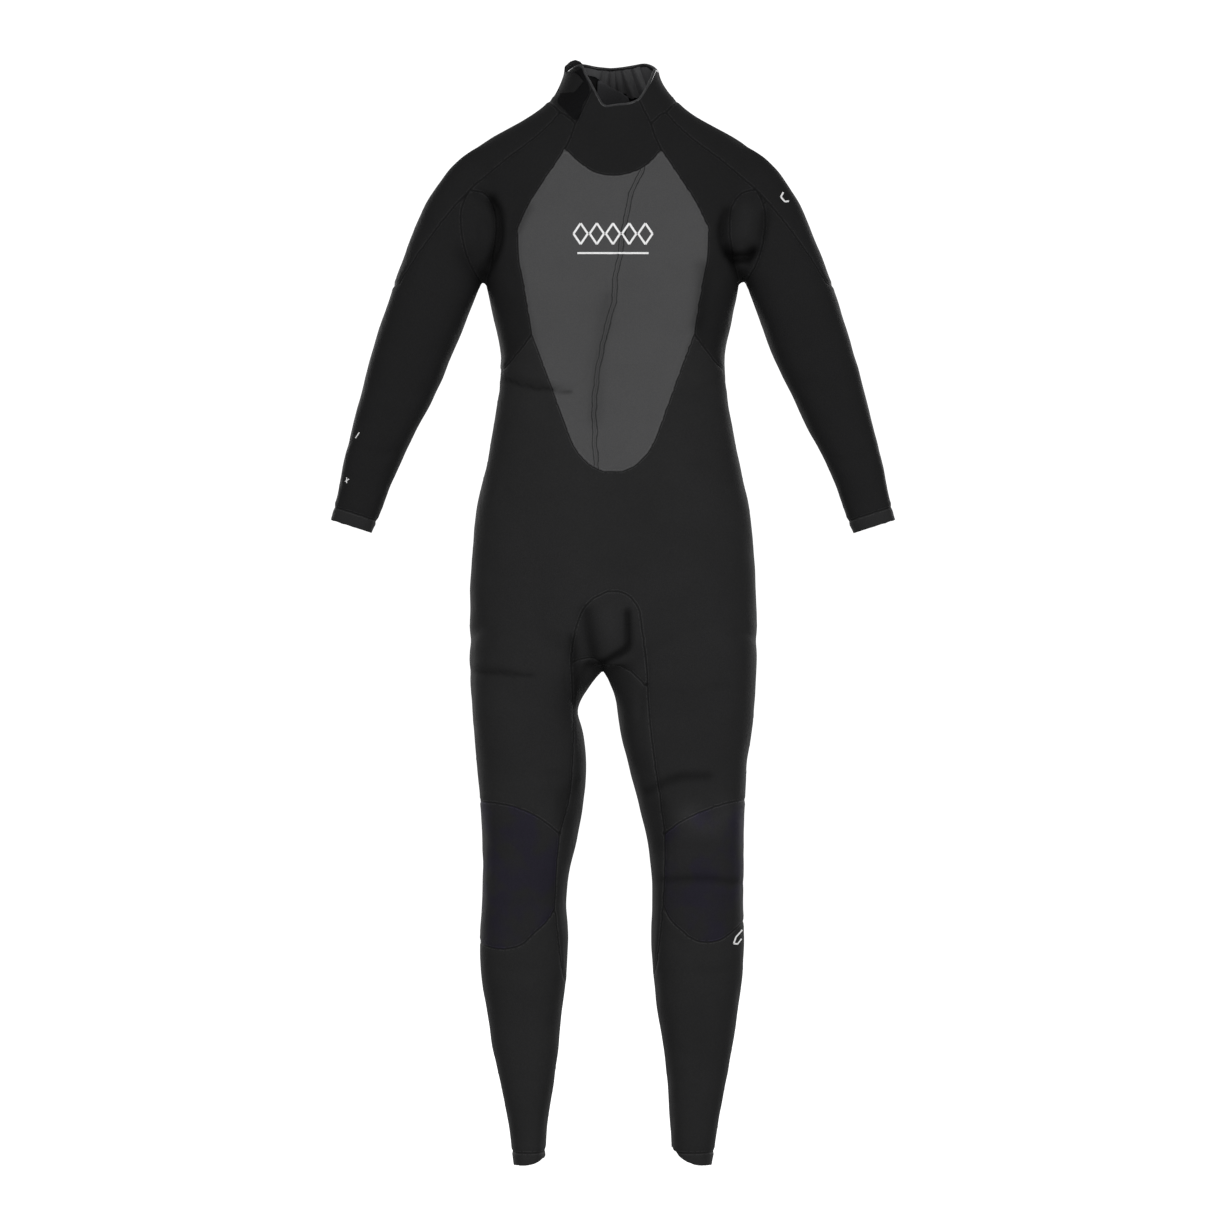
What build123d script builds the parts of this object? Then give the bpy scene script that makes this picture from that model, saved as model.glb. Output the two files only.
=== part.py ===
"""Full-length wetsuit with a back zip, held up by the neck and shoulders so that it hangs in its own shape.

Millimetres. +Z is up, the front of the suit faces -Y and the wearer's left is +X.
The origin is the centre of the neck opening at shoulder height, where a hanger or a form carries the suit.
Each panel of neoprene is its own solid. The trunk, legs and sleeves are 3 mm shells, and each panel is the
part of a shell inside its outline in the front view, drawn in by half a seam so that neighbours lie edge to
edge with the width of a glued seam between them.
"""
from build123d import *
import math
import os

# ---------------------------------------------------------------- driving dimensions
SKIN = 3.0                 # neoprene with its linings
SEAM = 0.2                 # glued butt seam between two panels
JOINT_GAP = 0.3            # clearance where a limb bends
HEM_TOP, HEM_BOTTOM = -1316.0, -1331.0
NECK_TOP = 42.0            # top edge of the collar at the back and the sides
CROTCH = -706.0            # where the trunk divides into two legs
ARMHOLE = 160.0            # half distance between the two armholes
ARMPIT = -240.0            # lowest point of the armholes
KNEE = -965.0              # height at which the knees bend
BACK_FLAT = 66.5           # flat strip down the back that carries the zip
WAIST_BACK = -450.0        # lower end of the flat strip
SQUARENESS = 0.9           # 1 gives ellipses, less gives squarer sections
RING_POINTS = 16
OUT = 240.0                # beyond the width of the trunk and the legs

# Trunk sections: height, half width, front, back.
TRUNK = [
    (54, 55, -30, 67.2), (25, 61, -36, 67.2), (8, 72, -40, 67.2), (-12, 96, -44, 67.2), (-30, 124, -48, 67.2),
    (-50, 156, -52, 67.2), (-75, 182, -58, 67.2), (-120, 190, -68, 67.2), (-180, 176, -76, 67.2),
    (-232, 161, -72, 67.2), (-275, 149, -66, 67.2), (-325, 140, -60, 67.2), (-400, 148, -62, 67.2),
    (-455, 157, -66, 67.4), (-505, 169, -71, 73), (-560, 177, -75, 81), (-625, 179, -76, 84), (CROTCH, 177, -68, 74),
]
# Leg sections: height, inner edge, outer edge, front, back.
LEG = [
    (CROTCH, 5, 177, -66, 72), (-750, 19, 175, -63, 67), (-825, 25, 170, -60, 60), (-875, 33, 165, -57, 54),
    (-925, 44, 163, -56, 46), (KNEE, 51, 163, -56, 42), (-1025, 53, 165, -53, 47), (-1075, 53, 165, -48, 52),
    (-1125, 57, 160, -44, 50), (-1175, 64, 152, -40, 44), (-1225, 70, 142, -37, 38), (-1275, 76, 132, -36, 34),
    (HEM_BOTTOM, 80, 124, -35, 30),
]
# Sleeve sections as the two ends of their width, in X and Z, and half depth. The first lies in the armhole.
SLEEVE_CAP = [((160, -230), (160, -53), 36), ((164, -233), (226, -125), 40), ((167, -240), (262, -205), 41)]
SLEEVE = [
    SLEEVE_CAP[-1], ((184, -279), (281, -244), 40), ((206, -330), (300, -296), 38), ((228, -379), (315, -347), 35),
    ((252, -428), (327, -401), 31), ((276, -477), (338, -454), 26), ((292, -519), (347, -499), 22),
    ((305, -546), (353, -529), 20),
]
ELBOW = 2                  # index of the SLEEVE section where the sleeve bends
CUFF_SEAM = ((293, -521), (348, -501))


# ---------------------------------------------------------------- shells
def ring(centre, across, half_width, half_depth, inset, start=0.0):
    """Closed section with its width along `across` and its depth along Y, drawn from the angle `start`."""
    points = []
    for i in range(RING_POINTS):
        angle = start + 2 * math.pi * i / RING_POINTS
        c, s = math.cos(angle), math.sin(angle)
        w = (half_width - inset) * math.copysign(abs(c) ** SQUARENESS, c)
        d = (half_depth - inset) * math.copysign(abs(s) ** SQUARENESS, s)
        points.append(centre + across * w + Vector(0, 1, 0) * d)
    return make_face(Spline(*points, periodic=True))


def trunk_loft(inset):
    rings = []
    for z, half_width, front, back in TRUNK:
        centre = Vector(0, (front + back) / 2, z)
        rings.append(ring(centre, Vector(1, 0, 0), half_width, (back - front) / 2, inset))
    return loft(rings)


def leg_loft(inset, extend):
    """The wearer's left leg. `extend` lengthens it at both ends."""
    rings = []
    for i, (z, inner, outer, front, back) in enumerate(LEG):
        z += {0: extend, len(LEG) - 1: -extend}.get(i, 0)
        centre = Vector((inner + outer) / 2, (front + back) / 2, z)
        rings.append(ring(centre, Vector(1, 0, 0), (outer - inner) / 2, (back - front) / 2, inset))
    return loft(rings)


def sleeve_loft(sections, inset, extend_start=0.0, extend_end=0.0):
    """Sleeve sections of the wearer's left arm."""
    rings = []
    for i, (lower, upper, half_depth) in enumerate(sections):
        a, b = Vector(lower[0], 0, lower[1]), Vector(upper[0], 0, upper[1])
        across = (b - a).normalized()
        along = Vector(across.Z, 0, -across.X)
        shift = {0: -extend_start, len(sections) - 1: extend_end}.get(i, 0)
        rings.append(ring((a + b) / 2 + along * shift, across, (b - a).length / 2, half_depth, inset, math.pi / 2))
    return loft(rings)


def block(x, y, z):
    """Box between the given pairs of limits."""
    size = [high - low for low, high in (x, y, z)]
    middle = [(high + low) / 2 for low, high in (x, y, z)]
    return Pos(*middle) * Box(*size)


def both_sides(shape):
    return [shape, mirror(shape, Plane.YZ)]


def flat_back(body, inset):
    return body - block((-60, 60), (BACK_FLAT - inset, 120), (WAIST_BACK, 60))


def within_armholes(body, half_width):
    """Body cut off flat at both armholes."""
    for side in both_sides(block((half_width, OUT), THROUGH, (ARMPIT, 80))):
        body = body - side
    return body


def trunk_shell():
    """Trunk between the armholes and above the crotch, open at the neck, the arms and the legs."""
    shell = within_armholes(flat_back(trunk_loft(0), 0), ARMHOLE - SEAM)
    inner = within_armholes(flat_back(trunk_loft(SKIN), SKIN), ARMHOLE - SKIN)
    shell = shell - (inner & block((-OUT, OUT), THROUGH, (CROTCH + SKIN, 80)))
    for opening in both_sides(leg_loft(SKIN, 8)) + both_sides(sleeve_loft(SLEEVE_CAP, SKIN, extend_start=8)):
        shell = shell - opening
    return shell


# Outline of the neck opening in front, from the wearer's right to the left.
NECK_EDGE = [(-52, 60), (-46, 34), (-33, 14), (-15, -5), (0, -8), (17, -5), (35, 14), (47, 34), (53, 60)]


def neck_cutter(drop):
    """Everything above the neck edge, lowered by `drop`."""
    front_line = [(x * (1 + drop / 60), z - drop) for x, z in NECK_EDGE]
    sketch = Plane.XZ * make_face([
        Spline(*[Vector(x, z, 0) for x, z in front_line]),
        Polyline(Vector(*front_line[-1], 0), Vector(front_line[-1][0], 80, 0),
                 Vector(front_line[0][0], 80, 0), Vector(*front_line[0], 0)),
    ])
    front = extrude(sketch, amount=150)
    return front + block((-90, 90), THROUGH, (NECK_TOP - drop, 90))


# ---------------------------------------------------------------- cutting panels
FRONT, BACK, THROUGH = (-150, -SEAM / 2), (SEAM / 2, 150), (-150, 150)


def drawn_in(corners, distance):
    """Closed polygon with every corner moved inwards so that each side shifts by `distance`."""
    count = len(corners)
    area = sum(corners[i - 1][0] * corners[i][1] - corners[i][0] * corners[i - 1][1] for i in range(count))
    turn = math.copysign(distance, area)
    moved = []
    for i in range(count):
        (x0, z0), (x1, z1), (x2, z2) = corners[i - 1], corners[i], corners[(i + 1) % count]
        length_in, length_out = math.hypot(x1 - x0, z1 - z0), math.hypot(x2 - x1, z2 - z1)
        ax, az = -(z1 - z0) / length_in, (x1 - x0) / length_in
        bx, bz = -(z2 - z1) / length_out, (x2 - x1) / length_out
        reach = turn / (1 + ax * bx + az * bz)
        moved.append((x1 + (ax + bx) * reach, z1 + (az + bz) * reach))
    return moved


def prism(curves, y_range):
    """Solid standing along Y whose outline follows the curves, given end to end, half a seam inside them."""
    corners = drawn_in([point for curve in curves for point in curve[:-1]], SEAM / 2)
    corners.append(corners[0])
    edges, start = [], 0
    for curve in curves:
        points = [Vector(x, z, 0) for x, z in corners[start:start + len(curve)]]
        edges.append(Spline(*points) if len(points) > 2 else Line(*points))
        start += len(curve) - 1
    return Pos(0, y_range[1], 0) * extrude(Plane.XZ * make_face(edges), y_range[1] - y_range[0])


def path(*points):
    """Straight runs between points, as curves for `prism`."""
    return [[points[i], points[i + 1]] for i in range(len(points) - 1)]


def back_along(*curves):
    """The same curves walked the other way."""
    return [curve[::-1] for curve in reversed(curves)]


def other_side(*curves):
    """The same curves on the wearer's right, walked the other way."""
    return [[(-x, z) for x, z in curve[::-1]] for curve in reversed(curves)]


def keep_beyond(shape, plane, gap):
    """Part of the shape on the side the plane looks to, from `gap` away."""
    return split(shape, bisect_by=plane.offset(gap), keep=Keep.TOP)


def keep_before(shape, plane, gap):
    return split(shape, bisect_by=plane.offset(-gap), keep=Keep.BOTTOM)


def main_solid(shape):
    return max(shape.solids(), key=lambda solid: solid.volume)


# Seams of the trunk for the wearer's left side, in X and Z.
NECK_SEAM_TOP = [(24, 10), (37, -12), (47, -33)]
NECK_SEAM_LOW = [(47, -33), (53, -51), (57, -69)]
COLLAR_LOW = [(47, -33), (54, -23), (62, -12)]
COLLAR_HIGH = [(62, -12), (74, -2), (92, 8)]
CHEST_TOP = [(57, -69), (32, -89), (0, -98), (-32, -89), (-57, -69)]
CHEST_SHOULDER = [(57, -69), (90, -122), (121, -168)]
CHEST_SIDE = [(121, -168), (119, -215), (112, -256), (103, -297)]
CHEST_POINT = [(103, -297), (80, -365), (54, -424), (26, -459), (0, -467)]
SHOULDER_SEAM = [(62, -12), (104, -50), (138, -77), (165, -105)]
YOKE_SEAM = [(121, -168), (142, -178), (165, -187)]
WAIST_FRONT = [(103, -297), (125, -309), (165, -338)]
RAGLAN_BACK = [(46, 0), (75, -50), (120, -130), (165, -190)]
WAIST_SEAM_BACK = [(165, -338), (95, -392), (40, -435), (0, -458)]
CROTCH_ARCH = [(43, -715), (42, -672), (26, -632), (0, -614), (-26, -632), (-42, -672), (-43, -715)]


def trunk_panels():
    shell = trunk_shell()
    shell = shell - neck_cutter(4 + SEAM)
    front = shell & block((-OUT, OUT), FRONT, (-750, 90))
    back = shell & block((-OUT, OUT), BACK, (-750, 90))
    zip_slot = block((-ZIP_SLOT / 2, ZIP_SLOT / 2), BACK, (ZIP_BOTTOM, 90)) + block((-0.3, 0.3), BACK, (-480, 90))
    side = path((165, -338), (OUT, -338), (OUT, -720), (43, -720), (43, -715))
    middle = {
        "chest_panel": (front, [CHEST_SHOULDER, CHEST_SIDE, CHEST_POINT]
                        + other_side(CHEST_SHOULDER, CHEST_SIDE, CHEST_POINT) + back_along(CHEST_TOP)),
        "front_neck_panel": (front, [NECK_SEAM_TOP, NECK_SEAM_LOW, CHEST_TOP]
                             + other_side(NECK_SEAM_TOP, NECK_SEAM_LOW)
                             + path((-24, 10), (-24, 40), (24, 40), (24, 10))),
        "front_body_panel": (front, back_along(CHEST_POINT) + [WAIST_FRONT] + side + [CROTCH_ARCH]
                             + other_side(*side) + other_side(WAIST_FRONT) + other_side(*back_along(CHEST_POINT))),
        "seat_panel": (back, back_along(WAIST_SEAM_BACK) + side + [CROTCH_ARCH] + other_side(*side)
                       + other_side(*back_along(WAIST_SEAM_BACK))),
        "crotch_gusset": (shell, [CROTCH_ARCH] + path((-43, -715), (-43, -720), (43, -720), (43, -715))),
    }
    left = {
        "front_yoke_panel": (front, [NECK_SEAM_LOW, CHEST_SHOULDER, YOKE_SEAM] + path((165, -187), (165, -105))
                             + back_along(COLLAR_LOW, SHOULDER_SEAM)),
        "flank_panel": (front, [CHEST_SIDE, WAIST_FRONT] + path((165, -338), (OUT, -338), (OUT, -187), (165, -187))
                        + back_along(YOKE_SEAM)),
        "upper_back_panel": (back, [RAGLAN_BACK] + path((165, -190), (OUT, -190), (OUT, -338), (165, -338))
                             + [WAIST_SEAM_BACK] + path((0, -458), (0, 0), (46, 0))),
    }
    panels = {name: main_solid(chunk & prism(curves, THROUGH)) for name, (chunk, curves) in middle.items()}
    for name, (chunk, curves) in left.items():
        piece = chunk & prism(curves, THROUGH)
        if name == "upper_back_panel":
            piece = piece - zip_slot
        add_pair(panels, name, main_solid(piece))
    shoulder_front = prism([SHOULDER_SEAM] + path((165, -105), (OUT, -105), (OUT, 60), (92, 60), (92, 8))
                           + back_along(COLLAR_HIGH), (-150, 0.5))
    shoulder_back = prism([RAGLAN_BACK] + path((165, -190), (OUT, -190), (OUT, 0), (46, 0)), (-0.5, 150))
    add_pair(panels, "shoulder_panel", main_solid(shell & (shoulder_front + shoulder_back)))
    collar_front = prism([NECK_SEAM_TOP, COLLAR_LOW, COLLAR_HIGH] + path((92, 8), (92, 60), (24, 60), (24, 10)),
                         (-150, 0.5))
    collar_back = prism(path((0, 0), (110, 0), (110, 60), (0, 60), (0, 0)), (-0.5, 150))
    add_pair(panels, "collar_panel", main_solid((shell & (collar_front + collar_back)) - zip_slot))
    binding = flat_back(trunk_loft(0), 0) - flat_back(trunk_loft(SKIN), SKIN)
    binding = (binding & neck_cutter(4)) - neck_cutter(0) - zip_slot
    panels["collar_binding"] = binding
    return panels


# Seams of the wearer's left leg, in X and Z.
INNER_SEAM = [(44, CROTCH), (46, -775), (50, -850), (60, -915)]
INNER_SEAM_LOW = [(60, -915), (63, -940), (66, KNEE)]
KNEE_TOP = [(60, -915), (86, -897), (120, -880), (180, -872)]
KNEE_BOTTOM = [(66, -985), (73, -1015), (86, -1042), (113, -1057), (146, -1045), (180, -1018)]
INNER_CALF = [(66, -985), (60, -1040), (48, -1110)]


def leg_panels():
    leg = main_solid(leg_loft(0, 0) - leg_loft(SKIN, 8))
    knee = Plane(origin=(0, 0, KNEE), z_dir=(0, 0, 1))
    crotch = Plane(origin=(0, 0, CROTCH), z_dir=(0, 0, 1))
    hem = Plane(origin=(0, 0, HEM_TOP), z_dir=(0, 0, 1))
    thigh = keep_before(keep_beyond(leg, knee, JOINT_GAP / 2), crotch, SEAM)
    shin = keep_before(keep_beyond(leg, hem, SEAM / 2), knee, JOINT_GAP / 2)
    down = path((66, KNEE), (66, -975), (0, -975), (0, CROTCH + 10), (44, CROTCH + 10), (44, CROTCH))
    beyond = path((44, CROTCH), (44, CROTCH + 10), (OUT, CROTCH + 10))
    panels = {}
    for name, piece in {
        "inner_thigh_panel": thigh & prism([INNER_SEAM, INNER_SEAM_LOW] + down, THROUGH),
        "thigh_front_panel": thigh & prism([KNEE_TOP] + path((180, -872), (OUT, -872), (OUT, CROTCH + 10),
                                                             (44, CROTCH + 10), (44, CROTCH)) + [INNER_SEAM], FRONT),
        "thigh_back_panel": thigh & prism(beyond + path((OUT, CROTCH + 10), (OUT, -975), (66, -975), (66, KNEE))
                                          + back_along(INNER_SEAM, INNER_SEAM_LOW), BACK),
        "knee_pad_upper": thigh & prism([KNEE_TOP] + path((180, -872), (OUT, -872), (OUT, -975), (66, -975),
                                                          (66, KNEE)) + back_along(INNER_SEAM_LOW), FRONT),
        "knee_pad_lower": shin & prism([KNEE_BOTTOM] + path((180, -1018), (OUT, -1018), (OUT, -950), (66, -950),
                                                            (66, -985)), FRONT),
        "shin_panel": shin & prism([KNEE_BOTTOM] + path((180, -1018), (OUT, -1018), (OUT, -1340), (48, -1340),
                                                        (48, -1110)) + back_along(INNER_CALF), FRONT),
        "calf_panel": shin & (block((0, OUT), (SEAM / 2, 150), (-1340, -950))
                              + prism([INNER_CALF] + path((48, -1110), (20, -1110), (20, -950), (66, -950),
                                                          (66, -985)), (-150, 1))),
        "ankle_hem": keep_before(leg, hem, SEAM / 2),
    }.items():
        add_pair(panels, name, main_solid(piece))
    return panels


def add_pair(panels, name, left):
    panels["left_" + name] = left
    panels["right_" + name] = mirror(left, Plane.YZ)


def across_sleeve(lower, upper):
    """Plane straight across the sleeve, looking down the arm."""
    a, b = Vector(lower[0], 0, lower[1]), Vector(upper[0], 0, upper[1])
    across = (b - a).normalized()
    return Plane(origin=(a + b) / 2, x_dir=Vector(0, 1, 0), z_dir=Vector(across.Z, 0, -across.X))


GUSSET_ARC = [(150, -119), (188, -127), (198, -160), (192, -205), (182, -250)]


def sleeve_panels():
    head = main_solid(sleeve_loft(SLEEVE_CAP, 0) - sleeve_loft(SLEEVE_CAP, SKIN, extend_start=8, extend_end=8))
    sleeve = main_solid(sleeve_loft(SLEEVE, 0) - sleeve_loft(SLEEVE, SKIN, extend_start=8, extend_end=8))
    shoulder, elbow = across_sleeve(*SLEEVE_CAP[-1][:2]), across_sleeve(*SLEEVE[ELBOW][:2])
    cuff = across_sleeve(*CUFF_SEAM)
    head = keep_before(head, shoulder, JOINT_GAP / 2)
    gusset = prism([GUSSET_ARC] + path((182, -250), (182, -290), (140, -290), (140, -119), (150, -119)), THROUGH)
    rest = prism([GUSSET_ARC] + path((182, -250), (182, -290), (300, -290), (300, -30), (150, -30), (150, -119)),
                 THROUGH)
    panels = {}
    for name, piece in {
        "sleeve_head": head & rest,
        "underarm_gusset": head & gusset,
        "upper_sleeve": keep_before(keep_beyond(sleeve, shoulder, JOINT_GAP / 2), elbow, JOINT_GAP / 2),
        "forearm_sleeve": keep_before(keep_beyond(sleeve, elbow, JOINT_GAP / 2), cuff, SEAM / 2),
        "wrist_cuff": keep_beyond(sleeve, cuff, SEAM / 2),
    }.items():
        add_pair(panels, name, main_solid(piece))
    return panels


# ---------------------------------------------------------------- zip and closure
ZIP_TOP, ZIP_BOTTOM = 3.0, -420.0
ZIP_SLOT = 12.0            # width of the opening between the back panels
TEETH_WIDTH, TEETH_GAP = 3.0, 0.1
TAPE_WIDTH = 17.0
SLIDER_TOP = -1.0
SLIDER_LENGTH, SLIDER_WIDTH = 18.0, 10.6
PULL_AXIS = (70.2, -8.0)   # Y and Z of the pin that the pull swings on
PIN_RADIUS, PIN_HOLE = 0.9, 1.2
PULL_LENGTH, PULL_WIDTH, PULL_THICK = 38.0, 9.0, 1.6
TAB_ROOT, TAB_END = -22.0, 36.0
TAB_LOW, TAB_HIGH = 7.0, 37.0
LAYER_GAP = 0.1
TAB_CLEARANCE = 0.4        # between the two fastening patches
PATCH = 0.9


def zip_parts():
    inner = BACK_FLAT - SKIN
    tape_back = inner - 1.2
    tape = block((0.5, TAPE_WIDTH), (tape_back, tape_back + 0.9), (ZIP_BOTTOM - 10, ZIP_TOP - 0.5))
    teeth_y = (tape_back + 1.0, tape_back + 3.6)
    teeth = block((TEETH_GAP, TEETH_GAP + TEETH_WIDTH), teeth_y, (ZIP_BOTTOM + 4.4, ZIP_TOP - 4))
    stops = block((TEETH_GAP, TEETH_GAP + TEETH_WIDTH), teeth_y, (ZIP_TOP - 3.8, ZIP_TOP - 1))
    bottom_stop = block((-3.4, 3.4), teeth_y, (ZIP_BOTTOM + 0.2, ZIP_BOTTOM + 4.2))
    return {
        "left_zip_tape": tape, "right_zip_tape": mirror(tape, Plane.YZ),
        "left_zip_teeth": teeth, "right_zip_teeth": mirror(teeth, Plane.YZ),
        "zip_top_stops": Compound(children=both_sides(stops)),
        "zip_bottom_stop": bottom_stop,
    }


def zip_slider():
    """Front half of the slider: a plate with two side walls, and the bridge that holds the pull."""
    z = (SLIDER_TOP - SLIDER_LENGTH, SLIDER_TOP)
    half = SLIDER_WIDTH / 2
    face = BACK_FLAT - 0.2
    plan = RectangleRounded(SLIDER_WIDTH, SLIDER_LENGTH, 3.5)
    plate = extrude(Plane(origin=(0, face, sum(z) / 2), x_dir=(-1, 0, 0), z_dir=(0, 1, 0)) * plan, 1.7)
    walls = [block((sign * half - 0.75 - sign * 0.75, sign * half + 0.75 - sign * 0.75),
                   (face - 2.4, face + 0.2), (z[0] + 3.5, z[1] - 3.5)) for sign in (-1, 1)]
    y, zc = PULL_AXIS
    bridge = block((-1.5, 1.5), (face + 1, y + 2.4), (zc - 4.5, zc + 4.5))
    bridge = fillet(bridge.edges().filter_by(Axis.X).group_by(Axis.Y)[-1], 2.2)
    hole = Pos(0, y, zc) * Rot(0, 90, 0) * Cylinder(PIN_HOLE, 10)
    return plate + walls + bridge - hole


def zip_pull():
    """Pull with its own cross pin, hanging down the zip."""
    y, zc = PULL_AXIS
    pin = Pos(0, y, zc) * Rot(0, 90, 0) * Cylinder(PIN_RADIUS, PULL_WIDTH)
    arms = [block((sign * 3.4 - 1.1, sign * 3.4 + 1.1), (y - PIN_RADIUS, y + PIN_RADIUS), (zc - 8, zc))
            for sign in (-1, 1)]
    plan = RectangleRounded(PULL_WIDTH, PULL_LENGTH - 6, 4.0)
    middle = Vector(0, y - PULL_THICK / 2, zc - 6 - (PULL_LENGTH - 6) / 2)
    plate = extrude(Plane(origin=middle, x_dir=(-1, 0, 0), z_dir=(0, 1, 0)) * plan, PULL_THICK)
    return pin + arms + plate


def collar_layer(near, far):
    """Layer over the outside of the collar, between two distances from it."""
    return flat_back(trunk_loft(-far), -far) - flat_back(trunk_loft(-near), -near)


def rounded_prism(x, z, radius):
    """Rounded rectangle in X and Z, standing along Y behind the neck."""
    plane = Plane(origin=((x[0] + x[1]) / 2, 0, (z[0] + z[1]) / 2), x_dir=(1, 0, 0), z_dir=(0, -1, 0))
    return extrude(plane * RectangleRounded(x[1] - x[0], z[1] - z[0], radius), -150)


def closure():
    """Flap that folds over the top of the zip, its fixed root and the two fastening patches."""
    tab_outline = rounded_prism((TAB_ROOT - 20, TAB_END), (TAB_LOW, TAB_HIGH), 9) & block(
        (TAB_ROOT, TAB_END), (0, 150), (TAB_LOW, TAB_HIGH))
    hook_start = LAYER_GAP + PATCH + TAB_CLEARANCE
    tab_start = hook_start + PATCH + LAYER_GAP
    return {
        "loop_patch": collar_layer(LAYER_GAP, LAYER_GAP + PATCH) & rounded_prism((6, 32), (9, 35), 4),
        "hook_patch": collar_layer(hook_start, hook_start + PATCH) & rounded_prism((8, 32), (10, 34), 5),
        "closure_tab": collar_layer(tab_start, tab_start + SKIN) & tab_outline,
        "closure_base": collar_layer(0.4, 0.4 + SKIN) & block((-90, TAB_ROOT - 2), (-12, 90), (8, 50)),
    }


def collar_lining():
    near, far = SKIN + 0.5, SKIN + 1.9
    layer = flat_back(trunk_loft(near), near) - flat_back(trunk_loft(far), far)
    layer = layer & block((-90, 90), THROUGH, (5, NECK_TOP - 5))
    return layer - neck_cutter(5) - block((-0.3, 0.3), (40, 100), (0, 60))


def zip_guard():
    """Loose inner panel behind the zip, narrow in the collar and wide down the back."""
    outline = Polyline((-19, 30), (19, 30), (21, -4), (48, -70), (48, -438), (-48, -438), (-48, -70), (-21, -4),
                       close=True)
    return Pos(0, 60.3, 0) * extrude(Plane.XZ * make_face(outline), 2.5)


# ---------------------------------------------------------------- all the pieces
def main():
    parts = {**trunk_panels(), **leg_panels(), **sleeve_panels(), **zip_parts()}
    parts.update(closure())
    parts.update(zip_slider=zip_slider(), zip_pull=zip_pull(), collar_lining=collar_lining(),
                 zip_guard_panel=zip_guard())
    os.makedirs("parts", exist_ok=True)
    for name, shape in parts.items():
        export_step(shape, f"parts/{name}.step")
    print("parts written:", len(parts))


main()
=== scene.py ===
"""Full wetsuit with a back zip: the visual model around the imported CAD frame.

Lengths inside this script are in millimetres until a mesh is written, which is in metres. The front faces -Y.
"""
import bpy
import math
import numpy as np
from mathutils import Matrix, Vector, noise
from mathutils.bvhtree import BVHTree
from mathutils.kdtree import KDTree


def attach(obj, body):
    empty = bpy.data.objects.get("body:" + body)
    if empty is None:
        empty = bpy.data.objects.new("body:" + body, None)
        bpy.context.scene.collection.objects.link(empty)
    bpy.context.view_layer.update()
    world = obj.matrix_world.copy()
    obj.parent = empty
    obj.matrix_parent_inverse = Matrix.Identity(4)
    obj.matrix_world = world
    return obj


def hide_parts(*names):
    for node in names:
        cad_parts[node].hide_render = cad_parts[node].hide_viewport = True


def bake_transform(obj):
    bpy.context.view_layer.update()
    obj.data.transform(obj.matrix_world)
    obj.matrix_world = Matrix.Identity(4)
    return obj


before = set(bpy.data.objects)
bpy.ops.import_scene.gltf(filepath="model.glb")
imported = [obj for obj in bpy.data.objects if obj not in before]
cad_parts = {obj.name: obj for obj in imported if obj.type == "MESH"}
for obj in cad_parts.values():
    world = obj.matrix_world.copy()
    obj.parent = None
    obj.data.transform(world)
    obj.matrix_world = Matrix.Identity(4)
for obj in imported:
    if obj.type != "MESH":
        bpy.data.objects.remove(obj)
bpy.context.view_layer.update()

MM = 0.001
SKIN = 3.0            # neoprene thickness
VOXEL = 4.5           # spacing of the surface mesh
FAR = 400.0           # beyond the suit, to close a panel's outline
SUIT = ("suit_body",)
HEM_SEAM = -1313.0

# ------------------------------------------------------------------ the body of the suit
# Trunk: height, half width, front, back.
TRUNK = [
    (75, 52, -27, 67), (54, 56, -30, 67), (25, 61, -36, 67), (8, 72, -41, 67), (-12, 93, -45, 67),
    (-25, 113, -47, 67),
    (-38, 137, -50, 67), (-56, 165, -54, 67), (-75, 178, -59, 67), (-110, 176, -67, 67), (-150, 174, -74, 67),
    (-190, 166, -77, 67), (-232, 158, -73, 67), (-275, 149, -67, 67), (-319, 140, -62, 67),
    (-356, 142, -61, 67),
    (-406, 149, -63, 67), (-450, 157, -67, 68), (-505, 170, -72, 74), (-560, 176, -76, 81),
    (-625, 179, -77, 84),
    (-680, 177, -73, 80), (-706, 166, -62, 68),
]
# Legs: height, inner edge, outer edge, front, back. The wearer's left leg, then the right one mirrored.
LEFT_LEG = [
    (-640, -12, 166, -58, 64), (-680, -12, 179, -69, 75), (-712, -10, 178.5, -70, 74),
    (-750, 3, 177, -66, 68),
    (-788, 9, 174, -63, 63),
    (-825, 18, 168, -61, 60), (-875, 31, 165, -58, 54), (-925, 43, 163, -57, 47), (-965, 48, 163, -57, 42),
    (-1000, 49, 163, -55, 44), (-1050, 48, 163, -51, 49), (-1090, 50, 162, -47, 51),
    (-1125, 54, 158, -44, 50),
    (-1175, 62, 151, -40, 44), (-1225, 68, 142, -38, 38), (-1275, 71, 132, -36, 34),
    (-1345, 76, 122, -35, 30),
]
RIGHT_LEG = [
    (-640, 12, 166, -58, 64), (-680, 12, 179, -69, 75), (-712, 14, 178.5, -70, 74),
    (-736, 30, 177.5, -67, 70),
    (-760, 43, 176.5, -65, 66), (-788, 38, 175, -63, 63),
    (-825, 33, 171, -61, 60), (-875, 36, 166, -58, 54), (-925, 45, 163, -57, 47), (-965, 55, 163, -57, 42),
    (-1000, 58, 164, -55, 44), (-1050, 56, 166, -51, 49), (-1090, 58, 165, -47, 51),
    (-1125, 62, 160, -44, 50),
    (-1175, 67, 152, -40, 44), (-1225, 74, 142, -38, 38), (-1275, 81, 131, -36, 34),
    (-1345, 87, 122, -35, 30),
]
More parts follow.
